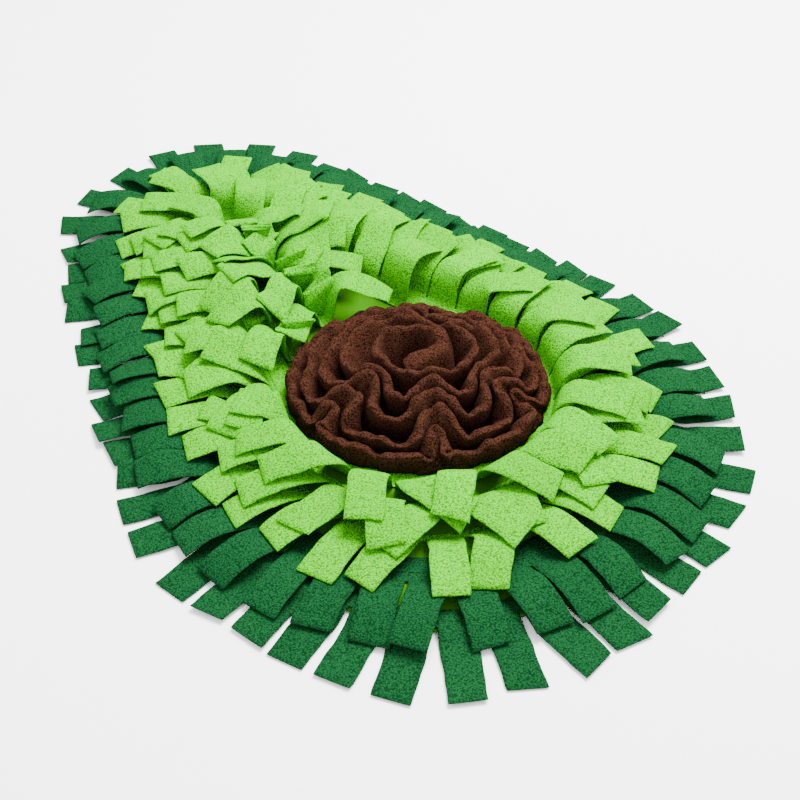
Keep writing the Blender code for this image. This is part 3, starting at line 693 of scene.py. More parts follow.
def strip_cloth(pile, row, near, far, lay, draw):
    """The middle of one strip's cloth, in rows of points from its root to its tip."""
    skew = draw.uniform(-MOST_SKEW, MOST_SKEW)
    width = row.width + draw.uniform(-WIDTH_SPREAD, WIDTH_SPREAD)
    share = np.linspace(0.0, 1.0, ALONG + 1)[:, None]
    share = share * (1.0 - abs(skew) / 2.0 + skew * SIDEWAYS)
    path, heading, up = strip_course(row, near, far, lay.reach, lay.swing, lay.slopes)
    steps = np.linspace(0.0, 1.0, PATH_STEPS + 1)
    turned = np.interp(share, steps, heading)
    root = np.linalg.norm(far - near)
    wide = root + (width - root) * smooth_step(share / ROOT_WIDENS)
    wobble = [slow_wave(draw, share[:, j] * row.length, CUT_SPAN, CUT_WOBBLE) for j in (0, -1)]
    wobble = np.stack(wobble, 1) @ np.stack([0.5 - SIDEWAYS, 0.5 + SIDEWAYS])
    aside = SIDEWAYS * wide + wobble * smooth_step(share * WOBBLE_FROM)
    plan = np.stack(
        [
            np.interp(share, steps, path[:, 0]) - aside * np.sin(turned),
            np.interp(share, steps, path[:, 1]) + aside * np.cos(turned),
        ],
        2,
    )
    cup = draw.uniform(-1.0, 1.0) * CUP * (4.0 * SIDEWAYS**2 - 0.5)
    if row.rise is None:
        wave = np.sin(math.pi * share) ** 2 * draw.uniform(0.0, 1.0) ** SELDOM[0] * LIMP_WAVE
        curl = share**3 * draw.uniform(0.0, 1.0) ** SELDOM[1] * LIMP_CURL
        under = BAND_LOW * (1.0 - smooth_step(share / LIMP_SINK)) + wave + curl
    else:
        tilt = math.tan(math.radians(MOST_ROLL * lay.roll)) * row.width
        under = BAND_LOW + np.interp(share, steps, up) - tilt * SIDEWAYS * share
        under += cup * smooth_step(share * CUP_FROM)
        reached, left, over = SHOULDER_AT
        risen = smooth_step(share / reached) * (1.0 - smooth_step((share - left) / (over - left)))
        under += SHOULDER.get(row.name, 0.0) * risen
        arch = ARCHES.get(row.name, 0.0) * draw.uniform(0.0, 1.0) ** SELDOM[2]
        under += arch * np.sin(math.pi * share**ARCH_LEAN)
    under[0] = BAND_LOW
    below = heights_below(pile, plan)
    if row.rise is not None:
        room = (under + lift_clear(below, under) - below)[-TIP_ROWS:].min()
        sink = smooth_step((share - DROOP_FROM) / (1.0 - DROOP_FROM))
        least, most = LIVELY_DROOP if row.loop is None else DROOP
        under = under - max(0.0, room) * draw.uniform(least, most) * sink
    under = under + lift_clear(below, under)
    middle = np.concatenate([plan, (under + FLEECE / 2)[:, :, None]], 2)
    marks = filled_in(middle, MARK_ALONG, MARK_ACROSS).reshape(-1, 3)
    pile.cover(marks[:, :2], marks[:, 2] + FLEECE / 2 + FINE_GAP)
    return middle


def thicken(points, faces, thickness):
    """Turns the middle of a sheet into a closed sheet with softly rounded cut edges."""
    points = np.asarray(points, float)
    faces = np.asarray(faces, int)
    a, b, c, d = (points[faces[:, i]] for i in range(4))
    facing = np.cross(c - a, d - b)
    normal = np.zeros_like(points)
    for i in range(4):
        np.add.at(normal, faces[:, i], facing)
    normal /= np.linalg.norm(normal, axis=1)[:, None]
    edges = np.concatenate([faces[:, [i, (i + 1) % 4]] for i in range(4)])
    count = len(points)
    forward = edges[:, 0] * count + edges[:, 1]
    backward = edges[:, 1] * count + edges[:, 0]
    rim = edges[~np.isin(forward, backward)]
    along = points[rim[:, 1]] - points[rim[:, 0]]
    along /= np.linalg.norm(along, axis=1)[:, None]
    out = np.zeros_like(points)
    for i in range(2):
        np.add.at(out, rim[:, i], np.cross(along, normal[rim[:, i]]))
    on_rim = np.unique(rim)
    out = out[on_rim] / np.maximum(np.linalg.norm(out[on_rim], axis=1), RIM_TURN)[:, None]
    half = np.full(count, thickness / 2)
    half[on_rim] *= RIM_FLAT
    top = points + normal * half[:, None]
    low = points - normal * half[:, None]
    edge = points[on_rim] + out * RIM_BULGE * thickness / 2
    at_edge = np.full(count, -1)
    at_edge[on_rim] = np.arange(len(on_rim)) + 2 * count
    first, last = rim[:, 0], rim[:, 1]
    shell = [
        faces,
        faces[:, ::-1] + count,
        np.stack([last, first, at_edge[first], at_edge[last]], 1),
        np.stack([at_edge[last], at_edge[first], first + count, last + count], 1),
    ]
    return np.concatenate([top, low, edge]), np.concatenate(shell), on_rim


class Cloth:
    """Points and faces of the middle of one sheet, and a shade for each point."""

    def __init__(self):
        self.points = []
        self.faces = []
        self.shades = []

    def add(self, points, shade):
        first = len(self.points)
        self.points.extend(np.asarray(points, float).tolist())
        self.shades.extend([shade] * len(points))
        return list(range(first, first + len(points)))

    def quad_rows(self, rows):
        """Faces between rows of points, that face up where the rows run outwards from near to far."""
        for inner, outer in zip(rows[:-1], rows[1:]):
            for j in range(len(inner) - 1):
                self.faces.append((inner[j], outer[j], outer[j + 1], inner[j + 1]))

    def finish(self, name, material):
        points, faces, on_rim = thicken(self.points, self.faces, FLEECE)
        points[:, 2] += unevenness(points, UNEVEN_SPAN) * UNEVEN * (points[:, 2] > FLEECE * 2)
        piece = mesh_object(name, points, faces, material)
        shade = piece.data.attributes.new("dye_shade", "FLOAT", "POINT")
        shades = np.array(self.shades)
        shade.data.foreach_set("value", np.concatenate([shades, shades, shades[on_rim]]))
        return piece


def lay_row(row, roots, coarse, fine):
    """Lays a row's strips one by one, in a mixed order, and returns their cloth by number."""
    draw = random.Random(row.seed)
    order = list(range(len(roots)))
    draw.shuffle(order)
    laid = {}
    for number in order:
        (near, _), (far, _) = roots[number]
        lay = choose_lay(coarse, row, near, far, draw)
        own = random.Random(row.seed * OWN_SEEDS + number)
        laid[number] = strip_cloth(fine, row, near, far, lay, own)
    return laid


def band_depth(row):
    return row.band + TUCKS.get(row.name, 0.0)


def row_cloth(row, roots, laid, closed):
    """One sheet: a band along a loop, with its strips growing out of its outer side."""
    cloth = Cloth()
    draw = random.Random(row.seed)
    height = (BAND_LOW + BAND_TOP) / 2
    sides = []
    for number, ((near, near_out), (far, far_out)) in enumerate(roots):
        shade = draw.gauss(0.0, 1.0)
        share = (SIDEWAYS + 0.5)[:, None]
        middle = laid[number]
        depth = band_depth(row)
        inner = (near - near_out * depth) * (1 - share) + (far - far_out * depth) * share
        inner = np.concatenate([inner, np.full((ACROSS + 1, 1), height)], 1)
        rows = [cloth.add(inner, shade)] + [cloth.add(line, shade) for line in middle]
        cloth.quad_rows(rows)
        sides.append(((rows[0][0], rows[1][0]), (rows[0][-1], rows[1][-1])))
    following = sides[1:] + sides[:1] if closed else sides[1:]
    for (_, ended), (started, _) in zip(sides, following):
        cloth.faces.append((ended[0], ended[1], started[1], started[0]))
    return cloth


def centre_cloth(row, laid):
    """One sheet: a straight band with strips growing out of both of its long sides."""
    cloth = Cloth()
    draw = random.Random(row.seed)
    before = None
    for number in range(row.strips):
        right = [cloth.add(line, draw.gauss(0.0, 1.0)) for line in laid[number]]
        left = [cloth.add(line, draw.gauss(0.0, 1.0)) for line in laid[row.strips + number]]
        cloth.quad_rows(right)
        cloth.quad_rows(left)
        cloth.quad_rows([left[0][::-1], right[0]])
        if before:
            cloth.faces.append((before[0], before[1], right[0][0], left[0][-1]))
        before = left[0][0], right[0][-1]
    return cloth


def heap_roots():
    """Root points of the loose strips over the neck's middle."""
    roots = []
    for place, heading in HEAP:
        turn = math.radians(heading)
        out = np.array([math.cos(turn), math.sin(turn)])
        half = np.array([-out[1], out[0]]) * HEAP_NARROW / 2
        roots.append([(np.array(place) - half, out), (np.array(place) + half, out)])
    return roots


# The rosette


def ribbon_foot():
    """Where the ribbon is sewn down, at even steps of the ribbon's top edge, and that step."""
    span = 2 * math.pi * RIBBON_TURNS
    angle = [0.0]
    while angle[-1] < span:
        radius = RIBBON_START_R + RIBBON_PITCH * angle[-1] / (2 * math.pi)
        angle.append(min(span, angle[-1] + SPIRAL_STEP / radius))
    angle = np.array(angle)
    turn = angle + RIBBON_END_AT - span
    own = 2 * math.pi - (span - angle) % (2 * math.pi)
    rim = RIBBON_START_R + RIBBON_PITCH * RIBBON_TURNS
    last = rim - RIBBON_PITCH * (1.0 - own / (2 * math.pi))
    radius = RIBBON_START_R + RIBBON_PITCH * angle / (2 * math.pi)
    radius *= 1.0 + (rim / last - 1.0) * smooth_step(own / RIBBON_WIDENS)
    back = BACK_SHIFT * np.array([math.cos(BACK_AT), math.sin(BACK_AT)])
    spiral = np.stack([radius * np.cos(turn), radius * np.sin(turn)], 1)
    spiral += (1.0 - radius / rim)[:, None] * back
    in_front = 0.5 + 0.5 * np.cos(turn - FRONT_AT)
    gather = GATHER[0] - 1.0 + (GATHER[1] - GATHER[0]) * in_front
    gather = 1.0 + gather * np.clip((radius - GATHER_FROM) / GATHER_OVER, GATHER_LEAST, 1.0)
    pieces = np.linalg.norm(np.diff(spiral, axis=0), axis=1) * (gather[1:] + gather[:-1]) / 2
    cloth = np.concatenate([[0.0], np.cumsum(pieces)])
    at = np.linspace(0.0, cloth[-1], int(cloth[-1] / RIBBON_STEP))
    foot = np.stack([np.interp(at, cloth, spiral[:, 0]), np.interp(at, cloth, spiral[:, 1])], 1)
    return foot, at[1]


def keep_lengths(top, want):
    gap = np.diff(top, axis=0)
    length = np.linalg.norm(gap, axis=1)
    push = ((length - want) / length)[:, None] * gap * PULL
    top[:-1] += push
    top[1:] -= push


def straighten(top):
    for hop, share in BENDING:
        pull = ((top[: -2 * hop] + top[2 * hop :]) / 2 - top[hop:-hop]) * share
        top[hop:-hop] += pull
        top[: -2 * hop] -= pull / 2
        top[2 * hop :] -= pull / 2


def push_apart(top, distant):
    between = top[:, None, :] - top[None, :, :]
    length = np.sqrt((between**2).sum(2)) + TOUCH
    short = np.where(distant, np.clip(RIDGE - length, 0.0, None), 0.0)
    push = ((short / length)[:, :, None] * between).sum(1)
    top += push / 2 / np.sqrt(np.maximum((short > 0).sum(1), 1))[:, None]


def draw_in(top, foot):
    """Holds the top edge to its seam and inside the rosette."""
    aside = top - foot
    far = np.linalg.norm(aside, axis=1)
    top -= aside * (np.clip(far - MOST_ASIDE, 0.0, None) / (far + TOUCH) / 2 + ASIDE_PULL)[:, None]
    radius = np.linalg.norm(top, axis=1)
    top -= top * (np.clip(radius - ROSETTE_R, 0.0, None) / (radius + TOUCH))[:, None]


def ribbon_top(foot, step):
    """The gathered top edge in plan, folded and settled so that no two stretches touch."""
    count = len(foot)
    draw = random.Random(KICK_SEED)
    kick = np.array([[draw.gauss(0.0, 1.0), draw.gauss(0.0, 1.0)] for _ in range(count)])
    for _ in range(KICK_ROUNDS):
        kick[1:-1] = (kick[:-2] + kick[1:-1] + kick[2:]) / 3
    top = foot + kick * KICK
    along = np.arange(count)
    distant = np.abs(along[:, None] - along[None, :]) > math.ceil(RIDGE * NEIGHBOURS / step)
    sewn = np.linalg.norm(np.diff(foot, axis=0), axis=1)
    for number in range(SETTLE_ROUNDS):
        growth = (1.0 - FIRST_LENGTH) * number / (SETTLE_ROUNDS * FULL_LENGTH_AT)
        want = sewn + (step - sewn) * min(1.0, FIRST_LENGTH + growth)
        for _ in range(STRETCH_ROUNDS):
            keep_lengths(top, want)
        straighten(top)
        push_apart(top, distant)
        draw_in(top, foot)
    return top


def ribbon_heights(top, step):
    """How high the ribbon stands along its length, and how much its ends taper."""
    along = np.arange(len(top)) * step
    taper = np.clip(np.minimum(along, along[-1] - along) / RIBBON_TAIL, 0.0, 1.0)
    taper = np.sin(taper * math.pi / 2)
    least = np.where(along < along[-1] / 2, *TAIL_HEIGHT)
    rim = np.linalg.norm(top, axis=1) / ROSETTE_R
    height = RIBBON_TOP_HEIGHT + (RIBBON_RIM_HEIGHT - RIBBON_TOP_HEIGHT) * rim**RIBBON_DOME
    return height * (least + (1.0 - least) * taper), taper


def rosette_sections():
    """The wound and gathered ribbon's sections, where it is sewn down."""
    foot, step = ribbon_foot()
    top = ribbon_top(foot, step)
    height, taper = ribbon_heights(top, step)
    thick = TAIL_THICKNESS + (1.0 - TAIL_THICKNESS) * taper
    sides = {}
    for half, share in RIBBON_SECTION:
        middle = foot + (top - foot) * share
        aside = to_the_right(np.gradient(middle, axis=0))
        for side in (1.0, -1.0):
            plan = middle + aside * (side * half * thick)[:, None] + ROSETTE_AT
            z = BAND_LOW + height * share
            sides[side, share] = np.concatenate([plan, z[:, None]], 1)
    shares = [share for _, share in RIBBON_SECTION]
    outline = [sides[1.0, share] for share in shares]
    outline += [sides[-1.0, share] for share in reversed(shares)]
    return np.stack(outline, 1)


def cover_rosette(pile, sections):
    share = np.linspace(0.0, 1.0, SURFACE_PLACES)
    along, across = np.meshgrid(share, share, indexing="ij")
    weights = patch_weights(along.ravel(), across.ravel())
    for near, far in zip(sections[:-1], sections[1:]):
        for i in range(len(near)):
            j = (i + 1) % len(near)
            places = weights @ np.array([near[i], near[j], far[i], far[j]])
            pile.cover(places[:, :2], places[:, 2] + PILE_GAP)


def refine(points, places):
    """Points on a smooth curve through the given ones, with places for each step."""
    before = np.concatenate([2 * points[:1] - points[1:2], points, 2 * points[-1:] - points[-2:-1]])
    found = []
    for share in np.arange(places) / places:
        a, b, c, d = (before[i : i + len(points) - 1] for i in range(4))
        curve = 2 * b + (c - a) * share + (2 * a - 5 * b + 4 * c - d) * share**2
        found.append((curve + (3 * b - a - 3 * c + d) * share**3) / 2)
    woven = np.stack(found, 1).reshape(-1, *points.shape[1:])
    return np.concatenate([woven, points[-1:]])


def bend_room(line):
    """How far each side of a plan line reaches before it folds over itself in a bend."""
    back, ahead = line[1:-1] - line[:-2], line[2:] - line[1:-1]
    turn = back[:, 0] * ahead[:, 1] - back[:, 1] * ahead[:, 0]
    length = np.linalg.norm(back, axis=1) * np.linalg.norm(ahead, axis=1)
    curving = np.concatenate([[0.0], turn / length / np.linalg.norm(ahead, axis=1), [0.0]])
    left = 1.0 / np.maximum(curving, 1.0)
    right = 1.0 / np.maximum(-curving, 1.0)
    rooms = []
    for room in (right, left):
        for _ in range(2):
            narrow = np.pad(room, 1, mode="edge")
            room = np.minimum(np.minimum(narrow[:-2], narrow[2:]), room)
        wide = np.pad(room, 2, mode="edge")
        rooms.append(sum(wide[i : i + len(room)] for i in range(5)) / 5)
    return rooms


def ribbon_outline():
    """The ribbon's section as it shows, from right to left.

    Each place is half its thickness, below 0 on the left side, and its share of the height.
    """
    last_share, last_half = RIBBON_HALF[-1]
    right = [(half, share) for share, half in RIBBON_HALF]
    fold = []
    for step in range(1, RIBBON_ROUND):
        turn = math.pi * step / RIBBON_ROUND
        fold.append((last_half * math.cos(turn), last_share + (1 - last_share) * math.sin(turn)))
    return right + fold + [(-half, share) for half, share in reversed(right)]


def drawn_in(plan):
    """The wound ribbon's places on the mat: a little narrower towards BACK_AT."""
    back = np.array([math.cos(BACK_AT), math.sin(BACK_AT)])
    return plan - np.outer(plan @ back, back) * (1.0 - OVAL) + ROSETTE_AT


def ribbon_mesh():
    """The gathered ribbon as a folded sheet: rings of points round its doubled cloth."""
    draw = random.Random(KICK_SEED)
    rough_foot, step = ribbon_foot()
    rough_top = ribbon_top(rough_foot, step)
    height, taper = ribbon_heights(rough_top, step)
    foot, top = refine(rough_foot, RIBBON_FINER), refine(rough_top, RIBBON_FINER)
    height, taper = refine(height, RIBBON_FINER), refine(taper, RIBBON_FINER)
    at = np.arange(len(top)) * step / RIBBON_FINER
    height = height + slow_wave(draw, at, WAVE_SPAN, TOP_WAVE) * taper
    height -= RIM_SINK * (np.linalg.norm(top, axis=1) / ROSETTE_R) ** SINK_POWER
    plump = 1.0 + slow_wave(draw, at, WAVE_SPAN, PLUMP)
    heart = smooth_step(1.0 - at / HEART_SPAN)
    thick = (TAIL_THICKNESS + (1.0 - TAIL_THICKNESS) * np.maximum(taper, heart)) * plump
    thick *= 1.0 + HEART_PLUMP * heart
    low = BAND_LOW + BACKING
    outer, inner = [], []
    for half, share in ribbon_outline():
        middle = foot + (top - foot) * share
        aside = to_the_right(np.gradient(middle, axis=0))
        right_room, left_room = bend_room(middle)
        room = (right_room if half > 0 else left_room) * TIGHTEST
        size = np.minimum(abs(half) * thick, room)
        wall = np.minimum(FLEECE * min(1.0, abs(half) / RIBBON_HALF[-1][1]), size * MOST_WALL)
        z = low + height * share
        fold_share = max(0.0, (share - RIBBON_HALF[-1][0]) / (1 - RIBBON_HALF[-1][0]))
        for found, reach, drop in ((outer, size, 0.0), (inner, size - wall, FLEECE * fold_share)):
            plan = drawn_in(middle + aside * (math.copysign(1.0, half) * reach)[:, None])
            found.append(np.concatenate([plan, (z - drop)[:, None]], 1))
    outer, inner = np.stack(outer, 1), np.stack(inner, 1)
    shape = outer.shape
    pucker = unevenness(outer.reshape(-1, 3), PUCKER_SPAN).reshape(shape[:2])
    away = outer - inner
    away /= np.maximum(np.linalg.norm(away, axis=2), TOUCH)[:, :, None]
    outer = outer + away * (pucker * PUCKER)[:, :, None]
    rings = np.concatenate([outer, inner[:, ::-1]], 1)
    count = rings.shape[1]
    faces = [face[::-1] for face in ring_faces(len(rings), count)]
    half_way = count // 2
    last = (len(rings) - 1) * count
    for i in range(half_way - 1):
        j = count - 1 - i
        faces.append((i, i + 1, j - 1, j))
        faces.append((last + j, last + j - 1, last + i + 1, last + i))
    return rings.reshape(-1, 3), faces, at[-1], height.mean()


def backing_mesh():
    """The round flat piece of cloth to which the rosette's ribbon is sewn."""
    turn = 2 * math.pi * np.arange(HEM_POINTS) / HEM_POINTS
    outline = BACKING_R * np.stack([np.cos(turn), np.sin(turn)], 1)
    rings = []
    for size, z in BACKING_SECTION:
        level = np.full((HEM_POINTS, 1), BAND_LOW + BACKING * z)
        rings.append(np.concatenate([outline * size + ROSETTE_AT, level], 1))
    return stacked_rings(rings)


def ring_faces(rings, count):
    """Faces between rings of so many points each."""
    faces = []
    for first in range(0, (rings - 1) * count, count):
        for i in range(count):
            j = (i + 1) % count
            faces.append((first + i, first + j, first + count + j, first + count + i))
    return faces


def stacked_rings(rings):
    """A closed shape through rings of points that run counter-clockwise, from low to high."""
    count = len(rings[0])
    points = np.concatenate(rings)
    caps = [tuple(range(count))[::-1], tuple(range(len(points) - count, len(points)))]
    return points, caps + ring_faces(len(rings), count)


# The base panel


def shrunk(outline, inset):
    """A closed outline drawn in by inset."""
    along = np.roll(outline, -1, 0) - np.roll(outline, 1, 0)
    return outline - to_the_right(along) * inset


def base_mesh():
    loop = row_loop(BASE_LOOP)
    rim = [loop_at(loop, loop[1][-1] * number / HEM_POINTS)[0] for number in range(HEM_POINTS)]
    outline = np.array(rim)
    rings = []
    for inset, z in BASE_SECTION:
        ring = shrunk(outline, inset)
        rings.append(np.concatenate([ring, np.full((HEM_POINTS, 1), z)], 1))
    return stacked_rings(rings)


# The seams


def seam_lines(row):
    """The line along which a row's band is sewn down."""
    if row.loop:
        loop, opening = row_loop(row.loop), 0.0
    else:
        loop, opening = neck_loop(), NECK_OPEN / 2
    places = np.arange(opening * loop[1][-1], (1 - opening) * loop[1][-1], SEAM_LINE_STEP)
    ends = [loop_at(loop, place) for place in places]
    return np.array([point - out * row.band / 2 for point, out in ends])


def seam_object(name, lines):
    """Edges along the seams, on the bands and on the underside, for stitches to follow."""
    points, edges = [], []
    for plan, closed, high in lines:
        for z in (high, SEAM_UNDER):
            first = len(points)
            points += [(*place, z) for place in plan]
            edges += [(i, i + 1) for i in range(first, len(points) - 1)]
            if closed:
                edges.append((len(points) - 1, first))
    mesh = bpy.data.meshes.new(name)
    mesh.from_pydata(points, edges, [])
    return add_piece(name, mesh)


def stitch_nodes():
    """Geometry nodes that lay a row of stitches along the edges of a mesh."""
    tree = bpy.data.node_groups.new("Stitches along a seam", "GeometryNodeTree")
    face = tree.interface
    face.new_socket("Seam", in_out="INPUT", socket_type="NodeSocketGeometry")
    for label in ("Stitch length", "Gap", "Thread thickness"):
        face.new_socket(label, in_out="INPUT", socket_type="NodeSocketFloat").subtype = "DISTANCE"
    face.new_socket("Thread", in_out="INPUT", socket_type="NodeSocketMaterial")
    face.new_socket("Stitches", in_out="OUTPUT", socket_type="NodeSocketGeometry")
    given = add_node(tree, "NodeGroupInput").outputs
    half_thick = worked_out(tree, "MULTIPLY", given["Thread thickness"], 0.5)
    half_long = worked_out(tree, "MULTIPLY", given["Stitch length"], 0.5)
    size = add_node(
        tree, "ShaderNodeCombineXYZ", None, {"X": half_thick, "Y": half_thick, "Z": half_long}
    )
    ball = add_node(tree, "GeometryNodeMeshUVSphere", None, {"Segments": 6, "Rings": 4, "Radius": 1.0})
    stitch = add_node(
        tree, "GeometryNodeTransform", None,
        {"Geometry": ball.outputs["Mesh"], "Scale": size.outputs["Vector"]},
    )
    pitch = worked_out(tree, "ADD", given["Stitch length"], given["Gap"])
    line = add_node(tree, "GeometryNodeMeshToCurve", None, {"Mesh": given["Seam"]})
    places = add_node(
        tree, "GeometryNodeCurveToPoints", {"mode": "LENGTH"},
        {"Curve": line.outputs["Curve"], "Length": pitch},
    )
    turn = add_node(
        tree, "FunctionNodeAlignRotationToVector", {"axis": "Z"}, {"Vector": places.outputs["Tangent"]}
    )
    laid = add_node(
        tree, "GeometryNodeInstanceOnPoints", None,
        {"Points": places.outputs["Points"], "Instance": stitch.outputs["Geometry"],
         "Rotation": turn.outputs["Rotation"]},
    )
    real = add_node(tree, "GeometryNodeRealizeInstances", None, {"Geometry": laid.outputs["Instances"]})
    smooth = add_node(tree, "GeometryNodeSetShadeSmooth", None, {"Geometry": real.outputs["Geometry"]})
    dyed = add_node(
        tree, "GeometryNodeSetMaterial", None,
        {"Geometry": smooth.outputs["Geometry"], "Material": given["Thread"]},
    )
    add_node(tree, "NodeGroupOutput", None, {"Stitches": dyed.outputs["Geometry"]})
    return tree


def sew(piece, tree, looks, thread):
    """Turns a seam's edges into stitches, as a plain mesh."""
    modifier = piece.modifiers.new("Stitches", "NODES")
    modifier.node_group = tree
    wanted = {
        "Stitch length": looks.stitch, "Gap": looks.gap, "Thread thickness": looks.thread,
        "Thread": thread,
    }
    for item in tree.interface.items_tree:
        if item.in_out == "INPUT" and item.name in wanted:
            modifier[item.identifier] = wanted[item.name]
    evaluated = piece.evaluated_get(bpy.context.evaluated_depsgraph_get())
    mesh = bpy.data.meshes.new_from_object(evaluated)
    piece.modifiers.clear()
    piece.data = mesh


# Materials


def new_material(name, roughness, gloss=None):
    """A material, its node tree, its shader and the object's coordinates."""
    material = bpy.data.materials.new(name)
    material.use_nodes = True
    tree = material.node_tree
    shader = tree.nodes["Principled BSDF"]
    shader.inputs["Roughness"].default_value = roughness
    if gloss is not None:
        shader.inputs["Specular IOR Level"].default_value = gloss
    return material, tree, shader, add_node(tree, "ShaderNodeTexCoord").outputs["Object"]


def noise_at(tree, place, scale, detail, roughness=0.5):
    inputs = {"Vector": place, "Scale": scale, "Detail": detail, "Roughness": roughness}
    return add_node(tree, "ShaderNodeTexNoise", None, inputs).outputs["Fac"]


def worked_out(tree, operation, *values):
    inputs = dict(enumerate(values))
    return add_node(tree, "ShaderNodeMath", {"operation": operation}, inputs).outputs[0]


def ranged(tree, value, found, wanted):
    """A value that lies in one range, moved to another."""
    inputs = {
        "Value": value, "From Min": found[0], "From Max": found[1],
        "To Min": wanted[0], "To Max": wanted[1],
    }
    return add_node(tree, "ShaderNodeMapRange", None, inputs).outputs["Result"]


def dye(tree, shader, colour, value):
    """Gives a shader its colour, made paler or darker from place to place."""
    inputs = {"Color": (*colour, 1.0), "Value": value}
    shaded = add_node(tree, "ShaderNodeHueSaturation", None, inputs)
    tree.links.new(shaded.outputs["Color"], shader.inputs["Base Color"])


def emboss(tree, shader, relief, strength, depth):
    inputs = {"Strength": strength, "Distance": depth, "Height": relief}
    bump = add_node(tree, "ShaderNodeBump", None, inputs)
    tree.links.new(bump.outputs["Normal"], shader.inputs["Normal"])


def polar_fleece(name, colour, looks, painted_nap_shading=1.0):
    """Knitted polyester, brushed and sheared on both sides.

    Its short curled fibres gather in soft pebbles a millimetre or so across, which break up the
    light, so it looks matt and speckled, and a very little paler where it is seen along the surface.
    """
    material, tree, shader, place = new_material(name, roughness=0.95, gloss=0.0)
    pebbles = add_node(
        tree, "ShaderNodeTexVoronoi", {"feature": "SMOOTH_F1"},
        {"Vector": place, "Scale": 1.0 / looks.nap_size, "Smoothness": 0.6, "Randomness": 1.0},
    )
    fibres = noise_at(tree, place, FINER_FIBRES / looks.nap_size, detail=2.0, roughness=0.6)
    patches = noise_at(tree, place, 1.0 / PATCH_SPAN, detail=3.0, roughness=0.55)
    strip = add_node(tree, "ShaderNodeAttribute", {"attribute_name": "dye_shade"}).outputs["Fac"]
    tops = ranged(tree, pebbles.outputs["Distance"], found=(0.1, 0.75), wanted=(1.0, 0.0))
    relief = worked_out(tree, "MULTIPLY_ADD", fibres, FIBRE_RELIEF, tops)
    emboss(tree, shader, relief, strength=0.75, depth=looks.nap_depth)
    # Speckle is painted highlight and painted shade: the colour is paler on the nap's pebbles and
    # darker in the hollows between them, following the bump's relief.
    speckle, mottling = looks.speckle * painted_nap_shading, looks.mottling
    value = ranged(tree, relief, found=(0.35, 1.25), wanted=(1.0 - speckle, 1.0 + speckle))
    worn = ranged(tree, patches, found=(0.25, 0.75), wanted=(1.0 - mottling, 1.0 + mottling))
    dyed = worked_out(tree, "MULTIPLY_ADD", strip, looks.strip_shades, worn)
    dye(tree, shader, colour, worked_out(tree, "MULTIPLY", value, dyed))
    shader.inputs["Sheen Weight"].default_value = looks.sheen
    shader.inputs["Sheen Roughness"].default_value = 0.45
    tint = [0.5 + 0.5 * min(1.0, channel * 2.0) for channel in colour]
    shader.inputs["Sheen Tint"].default_value = (*tint, 1.0)
    return material


def needle_felt(name, colour):
    """Polyester fibres needled into a dense flat sheet: a matt face with fine crossing hairs."""
    material, tree, shader, place = new_material(name, roughness=0.9, gloss=0.0)
    crossed = 0.0
    for turn in HAIR_TURNS:
        turned = add_node(
            tree, "ShaderNodeMapping", None,
            {"Vector": place, "Rotation": (0.0, 0.0, turn), "Scale": HAIRS},
        )
        hairs = noise_at(tree, turned.outputs["Vector"], 1.0, detail=2.0)
        crossed = worked_out(tree, "MAXIMUM", crossed, hairs)
    clouds = noise_at(tree, place, 1.0 / PATCH_SPAN, detail=4.0, roughness=0.6)
    value = ranged(tree, crossed, found=(0.35, 0.75), wanted=(0.84, 1.12))
    cloudy = ranged(tree, clouds, found=(0.25, 0.75), wanted=(0.93, 1.07))
    dye(tree, shader, colour, worked_out(tree, "MULTIPLY", value, cloudy))
    emboss(tree, shader, crossed, strength=0.5, depth=0.0003)
    return material


def spun_thread(name, colour):
    """Spun polyester sewing thread: matt, and a little uneven in tone along its twist."""
    material, tree, shader, place = new_material(name, roughness=0.65, gloss=0.05)
    twist = noise_at(tree, place, 1.0 / TWIST_SPAN, detail=1.0)
    value = ranged(tree, twist, found=(0.3, 0.7), wanted=(0.85, 1.15))
    dye(tree, shader, colour, value)
    return material


def matt_paper(name, colour):
    """A roll of matt white paper, as it is hung for photographs: no gloss and hardly a pattern."""
    material, tree, shader, place = new_material(name, roughness=0.9)
    fibre = noise_at(tree, place, 1.0 / PAPER_SPAN, detail=2.0)
    dye(tree, shader, colour, ranged(tree, fibre, found=(0.0, 1.0), wanted=(0.985, 1.0)))
    return material


# What a user may change


COLOUR = {"subtype": "COLOR", "size": 3, "min": 0.0, "max": 1.0}


